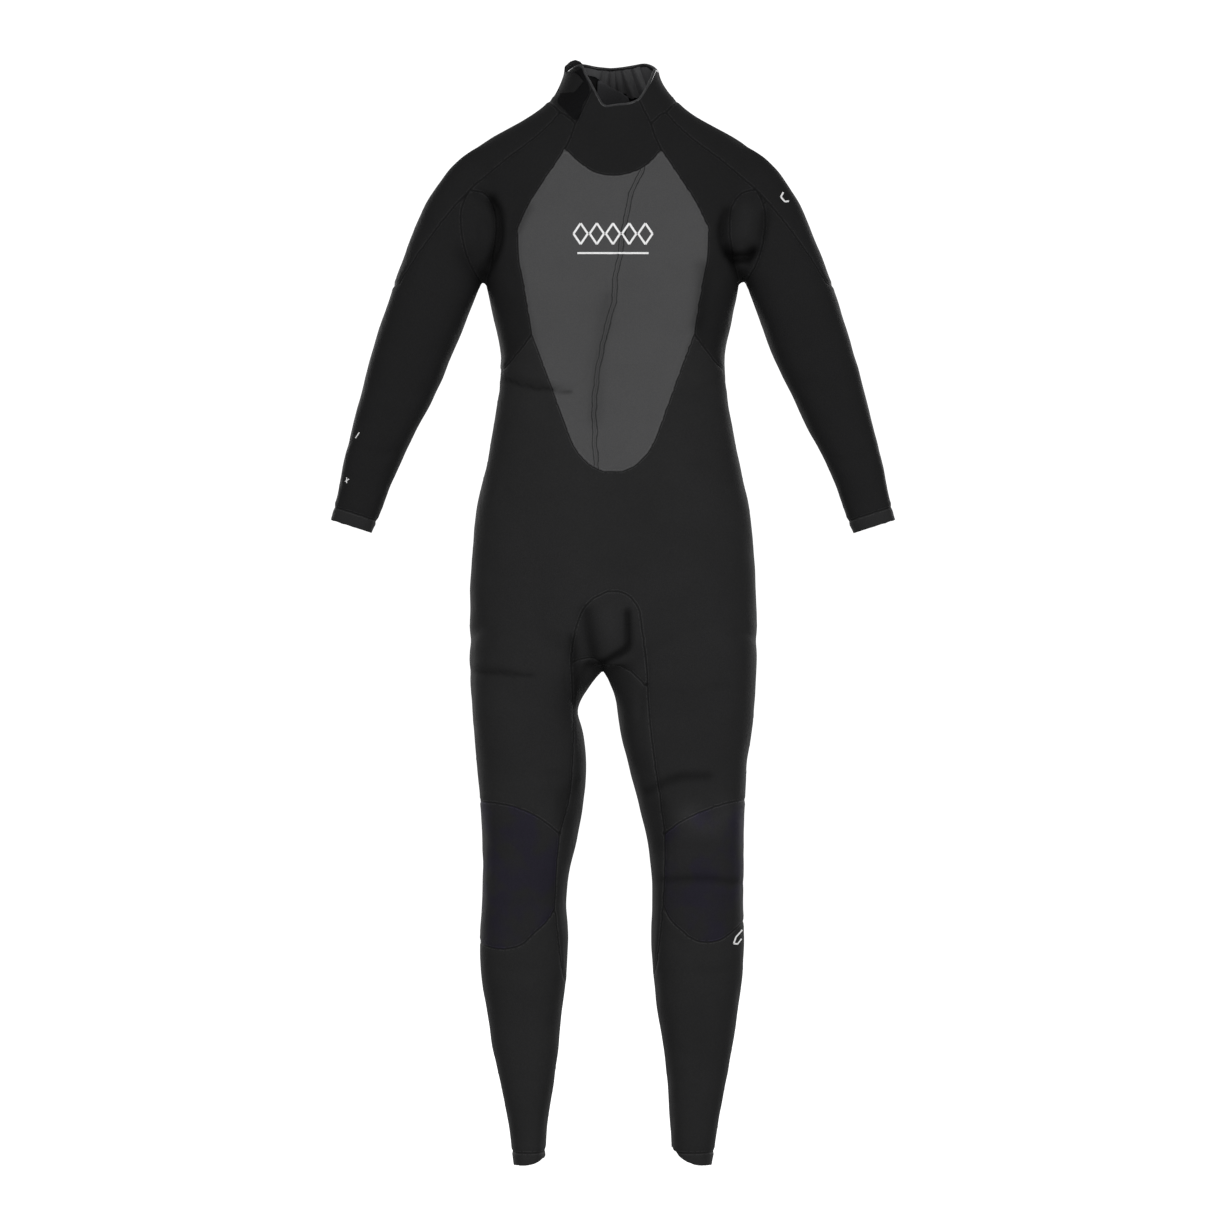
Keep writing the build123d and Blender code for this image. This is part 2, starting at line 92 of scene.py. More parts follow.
# Sleeves: inner and outer end of the width in X and Z, and half depth.
SLEEVE = [
    ((100, -200), (130, -43), 28), ((140, -216), (195, -76), 35), ((160, -224), (232, -126), 39),
    ((168, -237), (264, -204), 41), ((184, -279), (279, -246), 40), ((205, -330), (296, -298), 38),
    ((228, -379), (311, -349), 35), ((253, -428), (324, -402), 31), ((276, -477), (337, -455), 26),
    ((292, -519), (346, -499), 22), ((312, -566), (360, -549), 20),
]
SQUARENESS = 0.9


def smooth_rows(rows, step):
    """Rows of a table resampled every `step` along its first column, on a smooth curve."""
    rows = np.array(rows, float)
    t = rows[:, 0]
    slope = np.gradient(rows[:, 1:], t, axis=0)
    count = max(2, int((t[-1] - t[0]) / step))
    at = np.linspace(t[0], t[-1], count)
    k = np.clip(np.searchsorted(t, at, side="right") - 1, 0, len(t) - 2)
    h = (t[k + 1] - t[k])[:, None]
    u = ((at - t[k])[:, None]) / h
    a, b = rows[k, 1:], rows[k + 1, 1:]
    value = ((2 * u**3 - 3 * u**2 + 1) * a + (u**3 - 2 * u**2 + u) * h * slope[k]
             + (-2 * u**3 + 3 * u**2) * b + (u**3 - u**2) * h * slope[k + 1])
    return np.column_stack([at, value])


def tube(sections):
    """Closed tube through sections, each (inner x, inner z, outer x, outer z, front, back)."""
    sections = np.array(sections, float)
    middle = (sections[:, 0:2] + sections[:, 2:4]) / 2
    along = np.concatenate([[0], np.cumsum(np.linalg.norm(np.diff(middle, axis=0), axis=1))])
    table = smooth_rows(np.column_stack([along, sections]), 6.0)[:, 1:]
    angle = np.linspace(0, 2 * math.pi, 72, endpoint=False)
    c, s = np.cos(angle), np.sin(angle)
    w, d = np.sign(c) * abs(c) ** SQUARENESS, np.sign(s) * abs(s) ** SQUARENESS
    verts = []
    for ax, az, bx, bz, front, back in table:
        x = (ax + bx) / 2 + (bx - ax) / 2 * w
        z = (az + bz) / 2 + (bz - az) / 2 * w
        verts.append(np.column_stack([x, (front + back) / 2 + (back - front) / 2 * d, z]))
    verts = np.concatenate(verts)
    n, rings = len(angle), len(table)
    faces = [(r * n + i, r * n + (i + 1) % n, (r + 1) * n + (i + 1) % n, (r + 1) * n + i)
             for r in range(rings - 1) for i in range(n)]
    faces += [tuple(range(n))[::-1], tuple(range((rings - 1) * n, rings * n))]
    return verts, faces


def body_tubes():
    yield tube([(-w, z, w, z, front, back) for z, w, front, back in TRUNK])
    for side, leg in ((1, LEFT_LEG), (-1, RIGHT_LEG)):
        yield tube([(side * inner, z, side * outer, z, front, back) for z, inner, outer, front, back in leg])
        yield tube([(side * a[0], a[1], side * b[0], b[1], -half, half) for a, b, half in SLEEVE])


def to_object(name, verts, faces, smooth=False):
    """Mesh object from millimetres."""
    mesh = bpy.data.meshes.new(name)
    mesh.from_pydata([tuple(v) for v in np.asarray(verts) * MM], [],
                     [tuple(int(i) for i in f) for f in faces])
    mesh.update()
    mesh.polygons.foreach_set("use_smooth", [smooth] * len(mesh.polygons))
    obj = bpy.data.objects.new(name, mesh)
    bpy.context.scene.collection.objects.link(obj)
    return obj


def united_surface():
    """One closed surface around all the tubes, as triangles."""
    verts, faces, start = [], [], 0
    for v, f in body_tubes():
        verts.append(v)
        faces += [tuple(i + start for i in face) for face in f]
        start += len(v)
    obj = to_object("united", np.concatenate(verts), faces)
    remesh = obj.modifiers.new("remesh", "REMESH")
    remesh.mode, remesh.voxel_size, remesh.adaptivity = "VOXEL", VOXEL * MM, 0.0
    result = bpy.data.meshes.new_from_object(obj.evaluated_get(bpy.context.evaluated_depsgraph_get()))
    bpy.data.objects.remove(obj)
    result.calc_loop_triangles()
    v = np.zeros(len(result.vertices) * 3)
    result.vertices.foreach_get("co", v)
    t = np.zeros(len(result.loop_triangles) * 3, np.int32)
    result.loop_triangles.foreach_get("vertices", t)
    bpy.data.meshes.remove(result)
    return v.reshape(-1, 3) / MM, t.reshape(-1, 3).astype(int)


def edges_of(tris):
    e = np.sort(np.concatenate([tris[:, [0, 1]], tris[:, [1, 2]], tris[:, [2, 0]]]), axis=1)
    return np.unique(e, axis=0)


def relaxed(verts, edges, rounds, strength, weight=None):
    """Laplacian smoothing; `strength` is one number or a pair for shrink-free rounds."""
    a, b = edges.T
    count = np.bincount(np.concatenate([a, b]), minlength=len(verts))[:, None].clip(1)
    verts = verts.copy()
    factors = strength if isinstance(strength, tuple) else (strength,)
    for i in range(rounds):
        total = np.column_stack([
            np.bincount(a, verts[b, k], len(verts)) + np.bincount(b, verts[a, k],
                                                                  len(verts)) for k in range(3)])
        step = (total / count - verts) * factors[i % len(factors)]
        verts += step if weight is None else step * weight[:, None]
    return verts


def vertex_normals(verts, tris):
    face = np.cross(verts[tris[:, 1]] - verts[tris[:, 0]], verts[tris[:, 2]] - verts[tris[:, 0]])
    total = np.zeros((len(verts), 3))
    for k in range(3):
        for axis in range(3):
            total[:, axis] += np.bincount(tris[:, k], face[:, axis], len(verts))
    return total / np.linalg.norm(total, axis=1).clip(1e-9)[:, None]


# ------------------------------------------------------------------ distances in the front view
def curve(points, step=6.0):
    """Smooth curve through points in X and Z."""
    points = np.array(points, float)
    if len(points) < 3:
        return points
    along = np.concatenate([[0], np.cumsum(np.linalg.norm(np.diff(points, axis=0), axis=1))])
    return smooth_rows(np.column_stack([along, points]), step)[:, 1:]


def distance_to_line(xz, line):
    """Distance of each point from an open line, and the share of the line's length where it is nearest."""
    best = np.full(len(xz), 1e9)
    where = np.zeros(len(xz))
    for i in range(len(line) - 1):
        a, d = line[i], line[i + 1] - line[i]
        u = np.clip(((xz - a) @ d) / max(d @ d, 1e-9), 0, 1)
        gap = np.hypot(*(xz - a - u[:, None] * d).T)
        near = gap < best
        best[near], where[near] = gap[near], (i + u[near]) / (len(line) - 1)
    return best, where


def inside_distance(xz, outline):
    """Signed distance from a closed outline, below zero inside it."""
    gap, _ = distance_to_line(xz, np.vstack([outline, outline[:1]]))
    inside = np.zeros(len(xz), bool)
    x, z = xz.T
    for (x0, z0), (x1, z1) in zip(outline, np.roll(outline, -1, axis=0)):
        if z0 != z1:
            crosses = ((z0 > z) != (z1 > z)) & (x < (x1 - x0) * (z - z0) / (z1 - z0) + x0)
            inside ^= crosses
    return np.where(inside, -gap, gap)


def outline(*curves):
    """Closed outline from curves given end to end."""
    return np.concatenate([curve(c)[:-1] if len(c) > 2 else np.array(c[:1], float) for c in curves])


def path(*points):
    return [[points[i], points[i + 1]] for i in range(len(points) - 1)]


def reverse(*curves):
    return [c[::-1] for c in reversed(curves)]


def mirrored(*curves):
    return [[(-x, z) for x, z in c[::-1]] for c in reversed(curves)]


# ------------------------------------------------------------------ folds and creases
# Line in X and Z, height (below zero for a crease), half width, and the side it is on if not the front.
FOLDS = [
    ([(36, -91), (22, -120), (14, -163), (8, -199), (2, -229), (1, -254), (-7, -284), (-12, -304),
      (-18, -333),
      (-23, -368), (-24, -394), (-23, -426), (-21, -461), (-18, -520), (-16, -575)], 2.2, 4.0),
    ([(26, -93), (12, -125), (4, -165), (-2, -199), (-8, -229), (-9, -254), (-17, -284), (-22, -304),
      (-28, -333),
      (-33, -368), (-34, -394), (-33, -426), (-31, -461)], -1.6, 5.0),
    ([(46, -95), (33, -125), (25, -165), (19, -199), (13, -229), (12, -254), (4, -284), (-1, -304),
      (-7, -333),
      (-12, -368), (-13, -394), (-12, -426)], -1.2, 6.0),
    ([(-140, -346), (-106, -358), (-76, -363), (-53, -366), (-43, -358)], -2.6, 4.0),
    ([(-140, -334), (-104, -345), (-72, -351), (-50, -352)], 2.0, 7.0),
    ([(140, -352), (112, -364), (84, -368)], -2.2, 6.0),
    ([(-177, -108), (-156, -128), (-138, -146)], -4.0, 5.0),
    ([(-186, -118), (-164, -140), (-148, -158)], 3.0, 7.0),
    ([(-152, -128), (-145, -148), (-144, -172), (-150, -196), (-160, -218)], -10.0, 6.0),
    ([(-172, -134), (-172, -165), (-168, -198)], 5.0, 11.0),
    ([(168, -138), (165, -162), (162, -184)], 8.0, 13.0),
    ([(174, -190), (164, -200), (152, -200), (143, -190)], -12.0, 6.0),
    ([(190, -140), (188, -160), (182, -184)], -4.0, 5.0),
    ([(150, -206), (158, -218), (164, -234)], -4.0, 6.0),
    ([(142, -142), (137, -168), (142, -194)], -7.0, 6.0),
    ([(-40, -640), (-36, -668), (-30, -704), (-40, -748)], -5.0, 6.0),
    ([(18, -636), (19, -665), (18, -684), (0, -696), (-14, -703)], -5.0, 4.5),
    ([(-4, -640), (-3, -670), (-3, -700)], 3.0, 9.0),
    ([(-56, -690), (-55, -735), (-46, -762)], -2.6, 5.0),
    ([(40, -700), (36, -735), (34, -775)], -2.0, 6.0),
    ([(-176, -714), (-140, -716), (-112, -722)], -2.6, 5.0),
    ([(-176, -703), (-140, -705), (-112, -710)], 1.6, 7.0),
    ([(166, -738), (132, -735), (104, -742)], -1.6, 6.0),
    ([(44, -862), (77, -847), (118, -843)], -2.6, 5.0),
    ([(50, -848), (80, -835), (116, -832)], 1.5, 7.0),
    ([(-40, -850), (-70, -842), (-100, -846)], -1.6, 6.0),
    ([(62, -975), (112, -972), (164, -978)], -2.4, 5.0),
    ([(62, -940), (108, -934), (160, -942)], -1.2, 9.0),
    ([(-64, -950), (-112, -944), (-162, -952)], -1.3, 9.0),
    ([(-70, -1000), (-112, -1006), (-158, -998)], -1.0, 8.0),
    ([(-160, -1078), (-120, -1086), (-84, -1082)], -1.2, 8.0),
    ([(160, -1080), (124, -1090), (86, -1086)], -1.4, 8.0),
    ([(66, -1180), (96, -1192), (124, -1190)], -1.0, 9.0),
    ([(-120, -1216), (-98, -1224), (-80, -1220)], -1.0, 8.0),
    ([(206, -300), (240, -312), (296, -300)], -0.7, 8.0, "both"),
    ([(216, -330), (252, -344), (306, -330)], 0.6, 8.0, "both"),
    ([(222, -352), (262, -366), (312, -352)], -0.8, 8.0, "both"),
    ([(-200, -306), (-240, -318), (-298, -306)], -0.6, 8.0, "both"),
    ([(-222, -356), (-262, -372), (-312, -356)], -0.7, 8.0, "both"),
    ([(262, -446), (290, -452), (330, -440)], -1.2, 7.0, "both"),
    ([(-258, -436), (-288, -444), (-328, -430)], -1.2, 7.0, "both"),
    ([(60, -945), (108, -952), (158, -944)], -2.6, 7.0, "back"),
    ([(58, -985), (108, -978), (158, -986)], -2.4, 7.0, "back"),
    ([(-60, -945), (-108, -952), (-158, -944)], -2.6, 7.0, "back"),
    ([(-58, -985), (-108, -978), (-158, -986)], -2.4, 7.0, "back"),
    ([(-150, -360), (-90, -372), (-30, -366)], -1.8, 8.0, "back"),
    ([(150, -352), (90, -362), (30, -360)], -1.8, 8.0, "back"),
    ([(-140, -742), (-90, -756), (-44, -742)], -3.2, 8.0, "back"),
    ([(140, -744), (90, -758), (40, -744)], -3.2, 8.0, "back"),
]

# Areas of the front made darker (amount above zero) or lighter (below zero) in the base colour: painted shade
# in the armpits, crotch, creases and by the chest panel's edges, and painted highlight on raised spots such
# as the knee; the last row darkens the collar at the flap's root. Line in X and Z, amount, half width.
SHADES = [
    ([(-150, -126), (-144, -148), (-143, -172), (-149, -196), (-158, -216)], 0.75, 7.0),
    ([(-186, -196), (-176, -214), (-164, -228)], 0.35, 12.0),
    ([(142, -142), (137, -168), (142, -194)], 0.6, 7.0),
    ([(174, -190), (164, -200), (152, -200), (143, -190)], 0.78, 6.5),
    ([(190, -142), (188, -162), (180, -190)], 0.4, 6.0),
    ([(150, -206), (158, -218), (164, -234)], 0.6, 7.0),
    ([(166, -142), (164, -160), (162, -180)], -0.35, 10.0),
    ([(-50, -672), (-48, -712), (-45, -752)], 0.6, 6.0),
    ([(-32, -640), (-27, -670), (-20, -702)], 0.55, 9.0),
    ([(18, -640), (19, -665), (18, -684), (0, -696), (-14, -703)], 0.8, 5.0),
    ([(-6, -252), (-18, -325), (-22, -400)], 0.22, 9.0),
    ([(-117, -165), (-104, -140)], 0.3, 6.0),
    ([(110, -212), (109, -248), (104, -282)], 0.35, 9.0),
    ([(-6, -640), (-4, -660), (-2, -680)], -0.12, 10.0),
    ([(-140, -347), (-106, -359), (-76, -364), (-53, -367)], 0.5, 2.6),
    ([(-174, -714), (-140, -715), (-100, -718)], 0.35, 3.0),
    ([(44, -862), (77, -847), (118, -843)], 0.4, 6.0),
    ([(60, -880), (66, -905), (64, -930)], 0.3, 10.0),
    ([(96, -895), (122, -905), (140, -890)], -0.55, 17.0),
    ([(62, -972), (112, -970), (164, -976)], 0.35, 5.0),
    ([(-40, -850), (-60, -866), (-62, -900)], 0.3, 10.0),
    ([(-250, -400), (-252, -420), (-254, -440)], -0.1, 20.0),
    ([(-66, 16), (-59, 30), (-49, 42)], 0.4, 10.0),
]


# Base colour factor from SHADES: painted shade below one, painted highlight above one.
def painted(verts):
    xz = verts[:, [0, 2]]
    value = np.zeros(len(verts))
    for points, amount, width in SHADES:
        gap, _ = distance_to_line(xz, curve(points, 8.0))
        value += amount * np.exp(-((gap / width) ** 2)) * (verts[:, 1] < 6)
    return 1 - np.clip(value, -0.8, 0.9)


def fold_heights(verts):
    xz, y = verts[:, [0, 2]], verts[:, 1]
    height = np.zeros(len(verts))
    for points, amount, width, *side in FOLDS:
        line = curve(points, 8.0)
        low, high = line.min(0) - 4 * width, line.max(0) + 4 * width
        near = np.all((xz > low) & (xz < high), axis=1)
        near &= {"front": y < 4, "back": y > -4, "both": y < FAR}[side[0] if side else "front"]
        gap, share = distance_to_line(xz[near], line)
        taper = np.sin(np.clip(share, 0.02, 0.98) * math.pi) ** 0.5
        height[near] += amount * taper * np.exp(-((gap / width) ** 2))
    waves = np.array([noise.noise(Vector(v) / 70.0) + 0.45 * noise.noise(Vector(v) / 26.0) for v in verts])
    calm = np.clip((abs(verts[:, 0]) - 20) / 30, 0, 1) * (y > 20) + (y <= 20)
    neck = np.clip((10 - verts[:, 2]) / 60, 0, 1)
    return height + 1.5 * waves * calm * (0.25 + 0.75 * neck)


# ------------------------------------------------------------------ cutting the surface into panels
class Surface:
    def __init__(self, verts, tris):
        self.verts, self.tris = verts, tris
        self.label = np.full(len(tris), -1)

    def cut(self, value, snap=0.7):
        """Split the free triangles along value = 0 and return which of them lie below zero."""
        value = np.where(abs(value) < snap, 0.0, value)
        free = self.label < 0
        tri_value = value[self.tris]
        crossing = free & (tri_value.min(1) < 0) & (tri_value.max(1) > 0)
        edge_at, new_verts = {}, []
        start = len(self.verts)
        for tri in self.tris[crossing]:
            for a, b in ((tri[0], tri[1]), (tri[1], tri[2]), (tri[2], tri[0])):
                key = (a, b) if a < b else (b, a)
                if value[a] * value[b] < 0 and key not in edge_at:
                    u = value[key[0]] / (value[key[0]] - value[key[1]])
                    edge_at[key] = start + len(new_verts)
                    new_verts.append(self.verts[key[0]] * (1 - u) + self.verts[key[1]] * u)
        if new_verts:
            touched = np.zeros(start, bool)
            touched[np.array(list(edge_at)).ravel()] = True
            suspects = np.where(touched[self.tris].sum(1) >= 2)[0]
            keep = np.ones(len(self.tris), bool)
            tris, labels = [], []
            for index in suspects:
                a, b, c = self.tris[index]
                ab = edge_at.get((a, b) if a < b else (b, a))
                bc = edge_at.get((b, c) if b < c else (c, b))
                ca = edge_at.get((c, a) if c < a else (a, c))
                parts = split_triangle(a, b, c, ab, bc, ca)
                if parts:
                    keep[index] = False
                    tris += parts
                    labels += [self.label[index]] * len(parts)
            self.verts = np.vstack([self.verts, new_verts])
            value = np.concatenate([value, np.zeros(len(new_verts))])
            self.tris = np.vstack([self.tris[keep], tris])
            self.label = np.concatenate([self.label[keep], labels])
        tri_value = value[self.tris]
        return (self.label < 0) & (tri_value.sum(1) < 0) & (tri_value.max(1) <= 0)


def split_triangle(a, b, c, ab, bc, ca):
    """Triangles that replace abc when its edges carry the given new points."""
    cuts = [ab is not None, bc is not None, ca is not None]
    if sum(cuts) == 0:
        return []
    if sum(cuts) == 3:
        return [(a, ab, ca), (ab, b, bc), (ca, bc, c), (ab, bc, ca)]
    while not (cuts[0] and (cuts[1] or sum(cuts) == 1)):
        a, b, c, ab, bc, ca = b, c, a, bc, ca, ab
        cuts = [ab is not None, bc is not None, ca is not None]
    if sum(cuts) == 1:
        return [(a, ab, c), (ab, b, c)]
    return [(ab, b, bc), (a, ab, bc), (a, bc, c)]


# Seams for the wearer's left side, in X and Z.
NECK_TOP = [(22, 20), (35, -8), (47, -33)]
NECK_LOW = [(47, -33), (53, -51), (60, -66)]
COLLAR_LOW = [(47, -33), (55, -25), (66, -18)]
COLLAR_HIGH = [(66, -18), (77, -6), (92, 4)]
CHEST_TOP = [(60, -66), (44, -84), (24, -95), (2, -99), (-22, -95), (-42, -82), (-60, -64)]
CHEST_SHOULDER = [(60, -66), (84, -102), (106, -137), (119, -165)]
CHEST_SIDE = [(119, -165), (117, -200), (112, -228), (106, -262), (101, -295)]
CHEST_POINT = [(101, -295), (85, -337), (70, -378), (60, -405), (46, -438), (30, -456), (8, -466), (-8, -466)]
SHOULDER_SEAM = [(66, -18), (80, -34), (102, -54), (132, -76), (157, -96), (178, -114), (199, -137),
                 (219, -162),
                 (244, -196), (268, -232)]
SLEEVE_INNER = [(178, -114), (187, -132), (188, -170), (179, -204), (160, -236)]
GUSSET_INNER = [(178, -114), (162, -118), (149, -134), (145, -165), (150, -200), (160, -236)]
WAIST_FRONT = [(101, -295), (116, -314), (136, -336), (165, -352)]
RAGLAN_BACK = [(46, 0), (75, -50), (120, -112), (160, -160), (178, -196), (160, -236)]
SHOULDER_BACK = [(66, -4), (100, -44), (150, -84), (199, -130), (244, -190), (268, -232)]
WAIST_BACK = [(165, -338), (95, -392), (40, -435), (0, -458)]
CROTCH_ARCH = [(43, -734), (40, -692), (36, -662), (31, -634), (17, -618), (-2, -614), (-19, -620),
               (-34, -632),
               (-44, -654), (-50, -680), (-52, -703)]
CROTCH_EDGE = [(-52, -703), (-36, -697), (-22, -697), (-11, -706), (4, -706), (18, -711), (43, -734)]
SEAT_SEAM = [(0, -742), (45, -752), (95, -772), (150, -752), (190, -736)]
INNER_SEAM = {1: [(40, -700), (43, -745), (48, -800), (58, -870), (64, -915)],
              -1: [(52, -700), (50, -740), (49, -800), (54, -870), (66, -915)]}
KNEE_INNER = {1: [(64, -915), (64, -960), (62, -1003)], -1: [(66, -915), (70, -960), (72, -1008)]}
KNEE_TOP = {1: [(64, -915), (82, -901), (109, -888), (137, -878), (185, -872)],
            -1: [(66, -915), (90, -896), (120, -882), (162, -876), (185, -876)]}
KNEE_BOTTOM = {1: [(62, -1003), (70, -1020), (84, -1034), (104, -1048), (130, -1048), (160, -1028),
                   (185, -1010)],
               -1: [(72, -1008), (82, -1024), (98, -1038), (116, -1054), (134, -1058), (156, -1056),
                    (185, -1040)]}
CALF_SEAM = {1: [(62, -1003), (58, -1045), (50, -1100), (44, -1130)],
             -1: [(72, -1008), (68, -1045), (62, -1090), (50, -1130)]}
# Edge of the neck opening in front, from the wearer's right to the left.
NECK_EDGE = [(-44, 80), (-40, 44), (-36, 32), (-29, 19), (-20, 2), (-9, -13), (0, -10), (16, -9), (31, -4),
             (42, 12), (52, 34), (56, 80)]
# The collar's upper edge, X and Z, and how much higher it is at the back.
COLLAR_EDGE = [(-62, 33), (-52, 38), (-44, 42), (-36, 43), (-20, 40), (-2, 38.5), (18, 40.5), (36, 43.5),
               (46, 43),
               (53, 39), (60, 32)]
BACK_RISE = 6.0
ZIP_TOP, ZIP_BOTTOM, ZIP_HALF = 3.0, -420.0, 6.0


def sided(side, *curves):
    shape = outline(*curves)
    return shape * np.array([side, 1.0])


def collar_top(x, y):
    """Height of the collar's upper edge, which rises a little towards the back."""
    return BACK_RISE * np.clip(y / 50, 0, 1) + np.interp(x, *np.array(COLLAR_EDGE).T)


def neck_edge_value(verts):
    """Below zero outside the suit, above the collar's edge."""
    x, y, z = verts.T
    line = curve(NECK_EDGE)
    opening = inside_distance(verts[:, [0, 2]], line)
    return np.minimum(np.maximum(opening, y - 1.0), collar_top(x, y) - z)


def sleeve_share(verts, side):
    """Distance down the arm from the shoulder's cut, and the same from the cuff's end."""
    x, z = verts[:, 0] * side, verts[:, 2]
    along = np.array([0.345, -0.9386])
    shoulder = (x - 214.5) * along[0] + (z + 222.5) * along[1]
    end = (x - 325) * 0.31 + (z + 533.5) * -0.951
    return shoulder, end


def hem_end(verts):
    """Below zero under the ankle hems, which rise towards the inside of the leg."""
    x, z = abs(verts[:, 0]), verts[:, 2]
    share = np.clip((x - 74) / 48, 0, 1)
    return z - (-1329 + 21 * (1 - share) ** 3)


def make_panels(surface):
    """Cut every panel and return their names in label order."""
    names = []

    def take(name, value):
        chosen = surface.cut(value(surface.verts))
        surface.label[chosen] = len(names)
        names.append(name)

    def through(shape):
        return lambda v: inside_distance(v[:, [0, 2]], shape)

    def ahead(shape):
        return lambda v: np.maximum(inside_distance(v[:, [0, 2]], shape), v[:, 1] - 1.0)

    def behind(shape):
        return lambda v: np.maximum(inside_distance(v[:, [0, 2]], shape), 1.0 - v[:, 1])

    def both(front_shape, back_shape):
        return lambda v: np.minimum(ahead(front_shape)(v), behind(back_shape)(v))

    take("waste", neck_edge_value)
    take("waste", hem_end)
    for side in (1, -1):
        take("waste", lambda v, s=side: -sleeve_share(v, s)[1] + 1e3 * (v[:, 0] * s < 250))
    take("waste", lambda v: np.maximum.reduce([
        abs(v[:, 0]) - ZIP_HALF, v[:, 2] - ZIP_TOP, ZIP_BOTTOM - v[:, 2], 1.0 - v[:, 1]]))
    for side, word in ((1, "left"), (-1, "right")):
        rim = sided(side, NECK_TOP, COLLAR_LOW, COLLAR_HIGH, *path((92, 4), (110, 90), (22, 90), (22, 20)))
        nape = sided(side, *path((0, 0), (110, 0), (110, 90), (0, 90), (0, 0)))
        take(word + "_collar_panel", both(rim, nape))
    neck = outline(NECK_TOP, NECK_LOW, CHEST_TOP, *mirrored(NECK_LOW), *mirrored(NECK_TOP),
                   *path((-22, 20), (-22, 90), (22, 90), (22, 20)))
    take("front_neck_panel", ahead(neck))
    chest = outline(CHEST_SHOULDER, CHEST_SIDE, CHEST_POINT,
                    *mirrored(CHEST_SHOULDER, CHEST_SIDE, CHEST_POINT),
                    *reverse(CHEST_TOP))
    take("chest_panel", ahead(chest))
    for side, word in ((1, "left"), (-1, "right")):
        over = sided(side, SHOULDER_SEAM, *path((268, -232), (FAR, -232), (FAR, 90), (92, 90), (92, 4)),
                     *reverse(COLLAR_HIGH))
        under = sided(side, SHOULDER_BACK, *path((268, -232), (FAR, -232), (FAR, 90), (66, 90), (66, -4)))
        take(word + "_shoulder_panel", both(over, under))
        take(word + "_underarm_gusset", ahead(sided(side, SLEEVE_INNER, *reverse(GUSSET_INNER))))
        arm = sided(side, *path((150, -60), (FAR, -60), (FAR, -620), (250, -620), (230, -460), (168, -290),
                                (160, -236)),
                    *reverse(SLEEVE_INNER), *path((178, -114), (150, -60)))
        arm_back = sided(side, *path((200, -60), (FAR, -60), (FAR, -620), (250, -620), (230, -460),
                                     (168, -290),
                                     (160, -236)),
                         *reverse(RAGLAN_BACK[3:]), *path((160, -160), (200, -60)))
        on_arm = both(arm, arm_back)
        take(word + "_wrist_cuff", lambda v, s=side: np.maximum(on_arm(v), -sleeve_share(v, s)[1] - 16.5))
        take(word + "_forearm_sleeve", lambda v, s=side: np.maximum(on_arm(v), 62 - sleeve_share(v, s)[0]))
        take(word + "_upper_sleeve", on_arm)
        flank = sided(side, NECK_LOW, CHEST_SHOULDER, CHEST_SIDE, WAIST_FRONT,
                      *path((165, -352), (FAR, -352), (FAR, 0), (92, 4)), *reverse(COLLAR_LOW, COLLAR_HIGH))
        take(word + "_flank_panel", ahead(flank))
    take("crotch_gusset", through(outline(CROTCH_ARCH, CROTCH_EDGE)))
    for side, word in ((1, "left"), (-1, "right")):
        spine = sided(side, WAIST_BACK, *path((0, -458), (0, 90), (FAR, 90), (FAR, -338), (165, -338)))
        take(word + "_upper_back_panel", behind(spine))
        first = INNER_SEAM[side][0]
        inner = sided(side, INNER_SEAM[side], *path(INNER_SEAM[side][-1], (-12 * side, -915),
                                                    (-12 * side, -690), first))
        take(word + "_inner_thigh_panel", through(inner))
    seat = outline(SEAT_SEAM, *path((190, -736), (FAR, -736), (FAR, -300), (-FAR, -300), (-FAR, -736),
                                    (-190, -736)),
                   *mirrored(SEAT_SEAM))
    take("seat_panel", behind(seat))
    for side, word in ((1, "left"), (-1, "right")):
        top, bottom = KNEE_TOP[side], KNEE_BOTTOM[side]
        pad = sided(side, top, *path(top[-1], (FAR, top[-1][1]), (FAR, bottom[-1][1]), bottom[-1]),
                    *reverse(bottom),
                    *reverse(KNEE_INNER[side]))
        take(word + "_knee_pad", ahead(pad))
        take(word + "_ankle_hem", lambda v, s=side: np.maximum(v[:, 2] - HEM_SEAM, -v[:, 0] * s))
        calf = CALF_SEAM[side]
        shin = sided(side, bottom, *path(bottom[-1], (FAR, bottom[-1][1]), (FAR, -1400), (calf[-1][0], -1400),
                                         calf[-1]),
                     *reverse(calf))
        take(word + "_shin_panel", ahead(shin))
        lower = sided(side, *path((-12 * side, -915), (FAR, -915), (FAR, -1400), (-12 * side, -1400),
                                  (-12 * side, -915)))
        take(word + "_calf_panel", through(lower))
        thigh = sided(side, *path((0, -690), (FAR, -690), (FAR, -915), (0, -915), (0, -690)))
        take(word + "_thigh_back_panel", behind(thigh))
    take("front_body_panel", lambda v: -np.ones(len(v)))
    return names


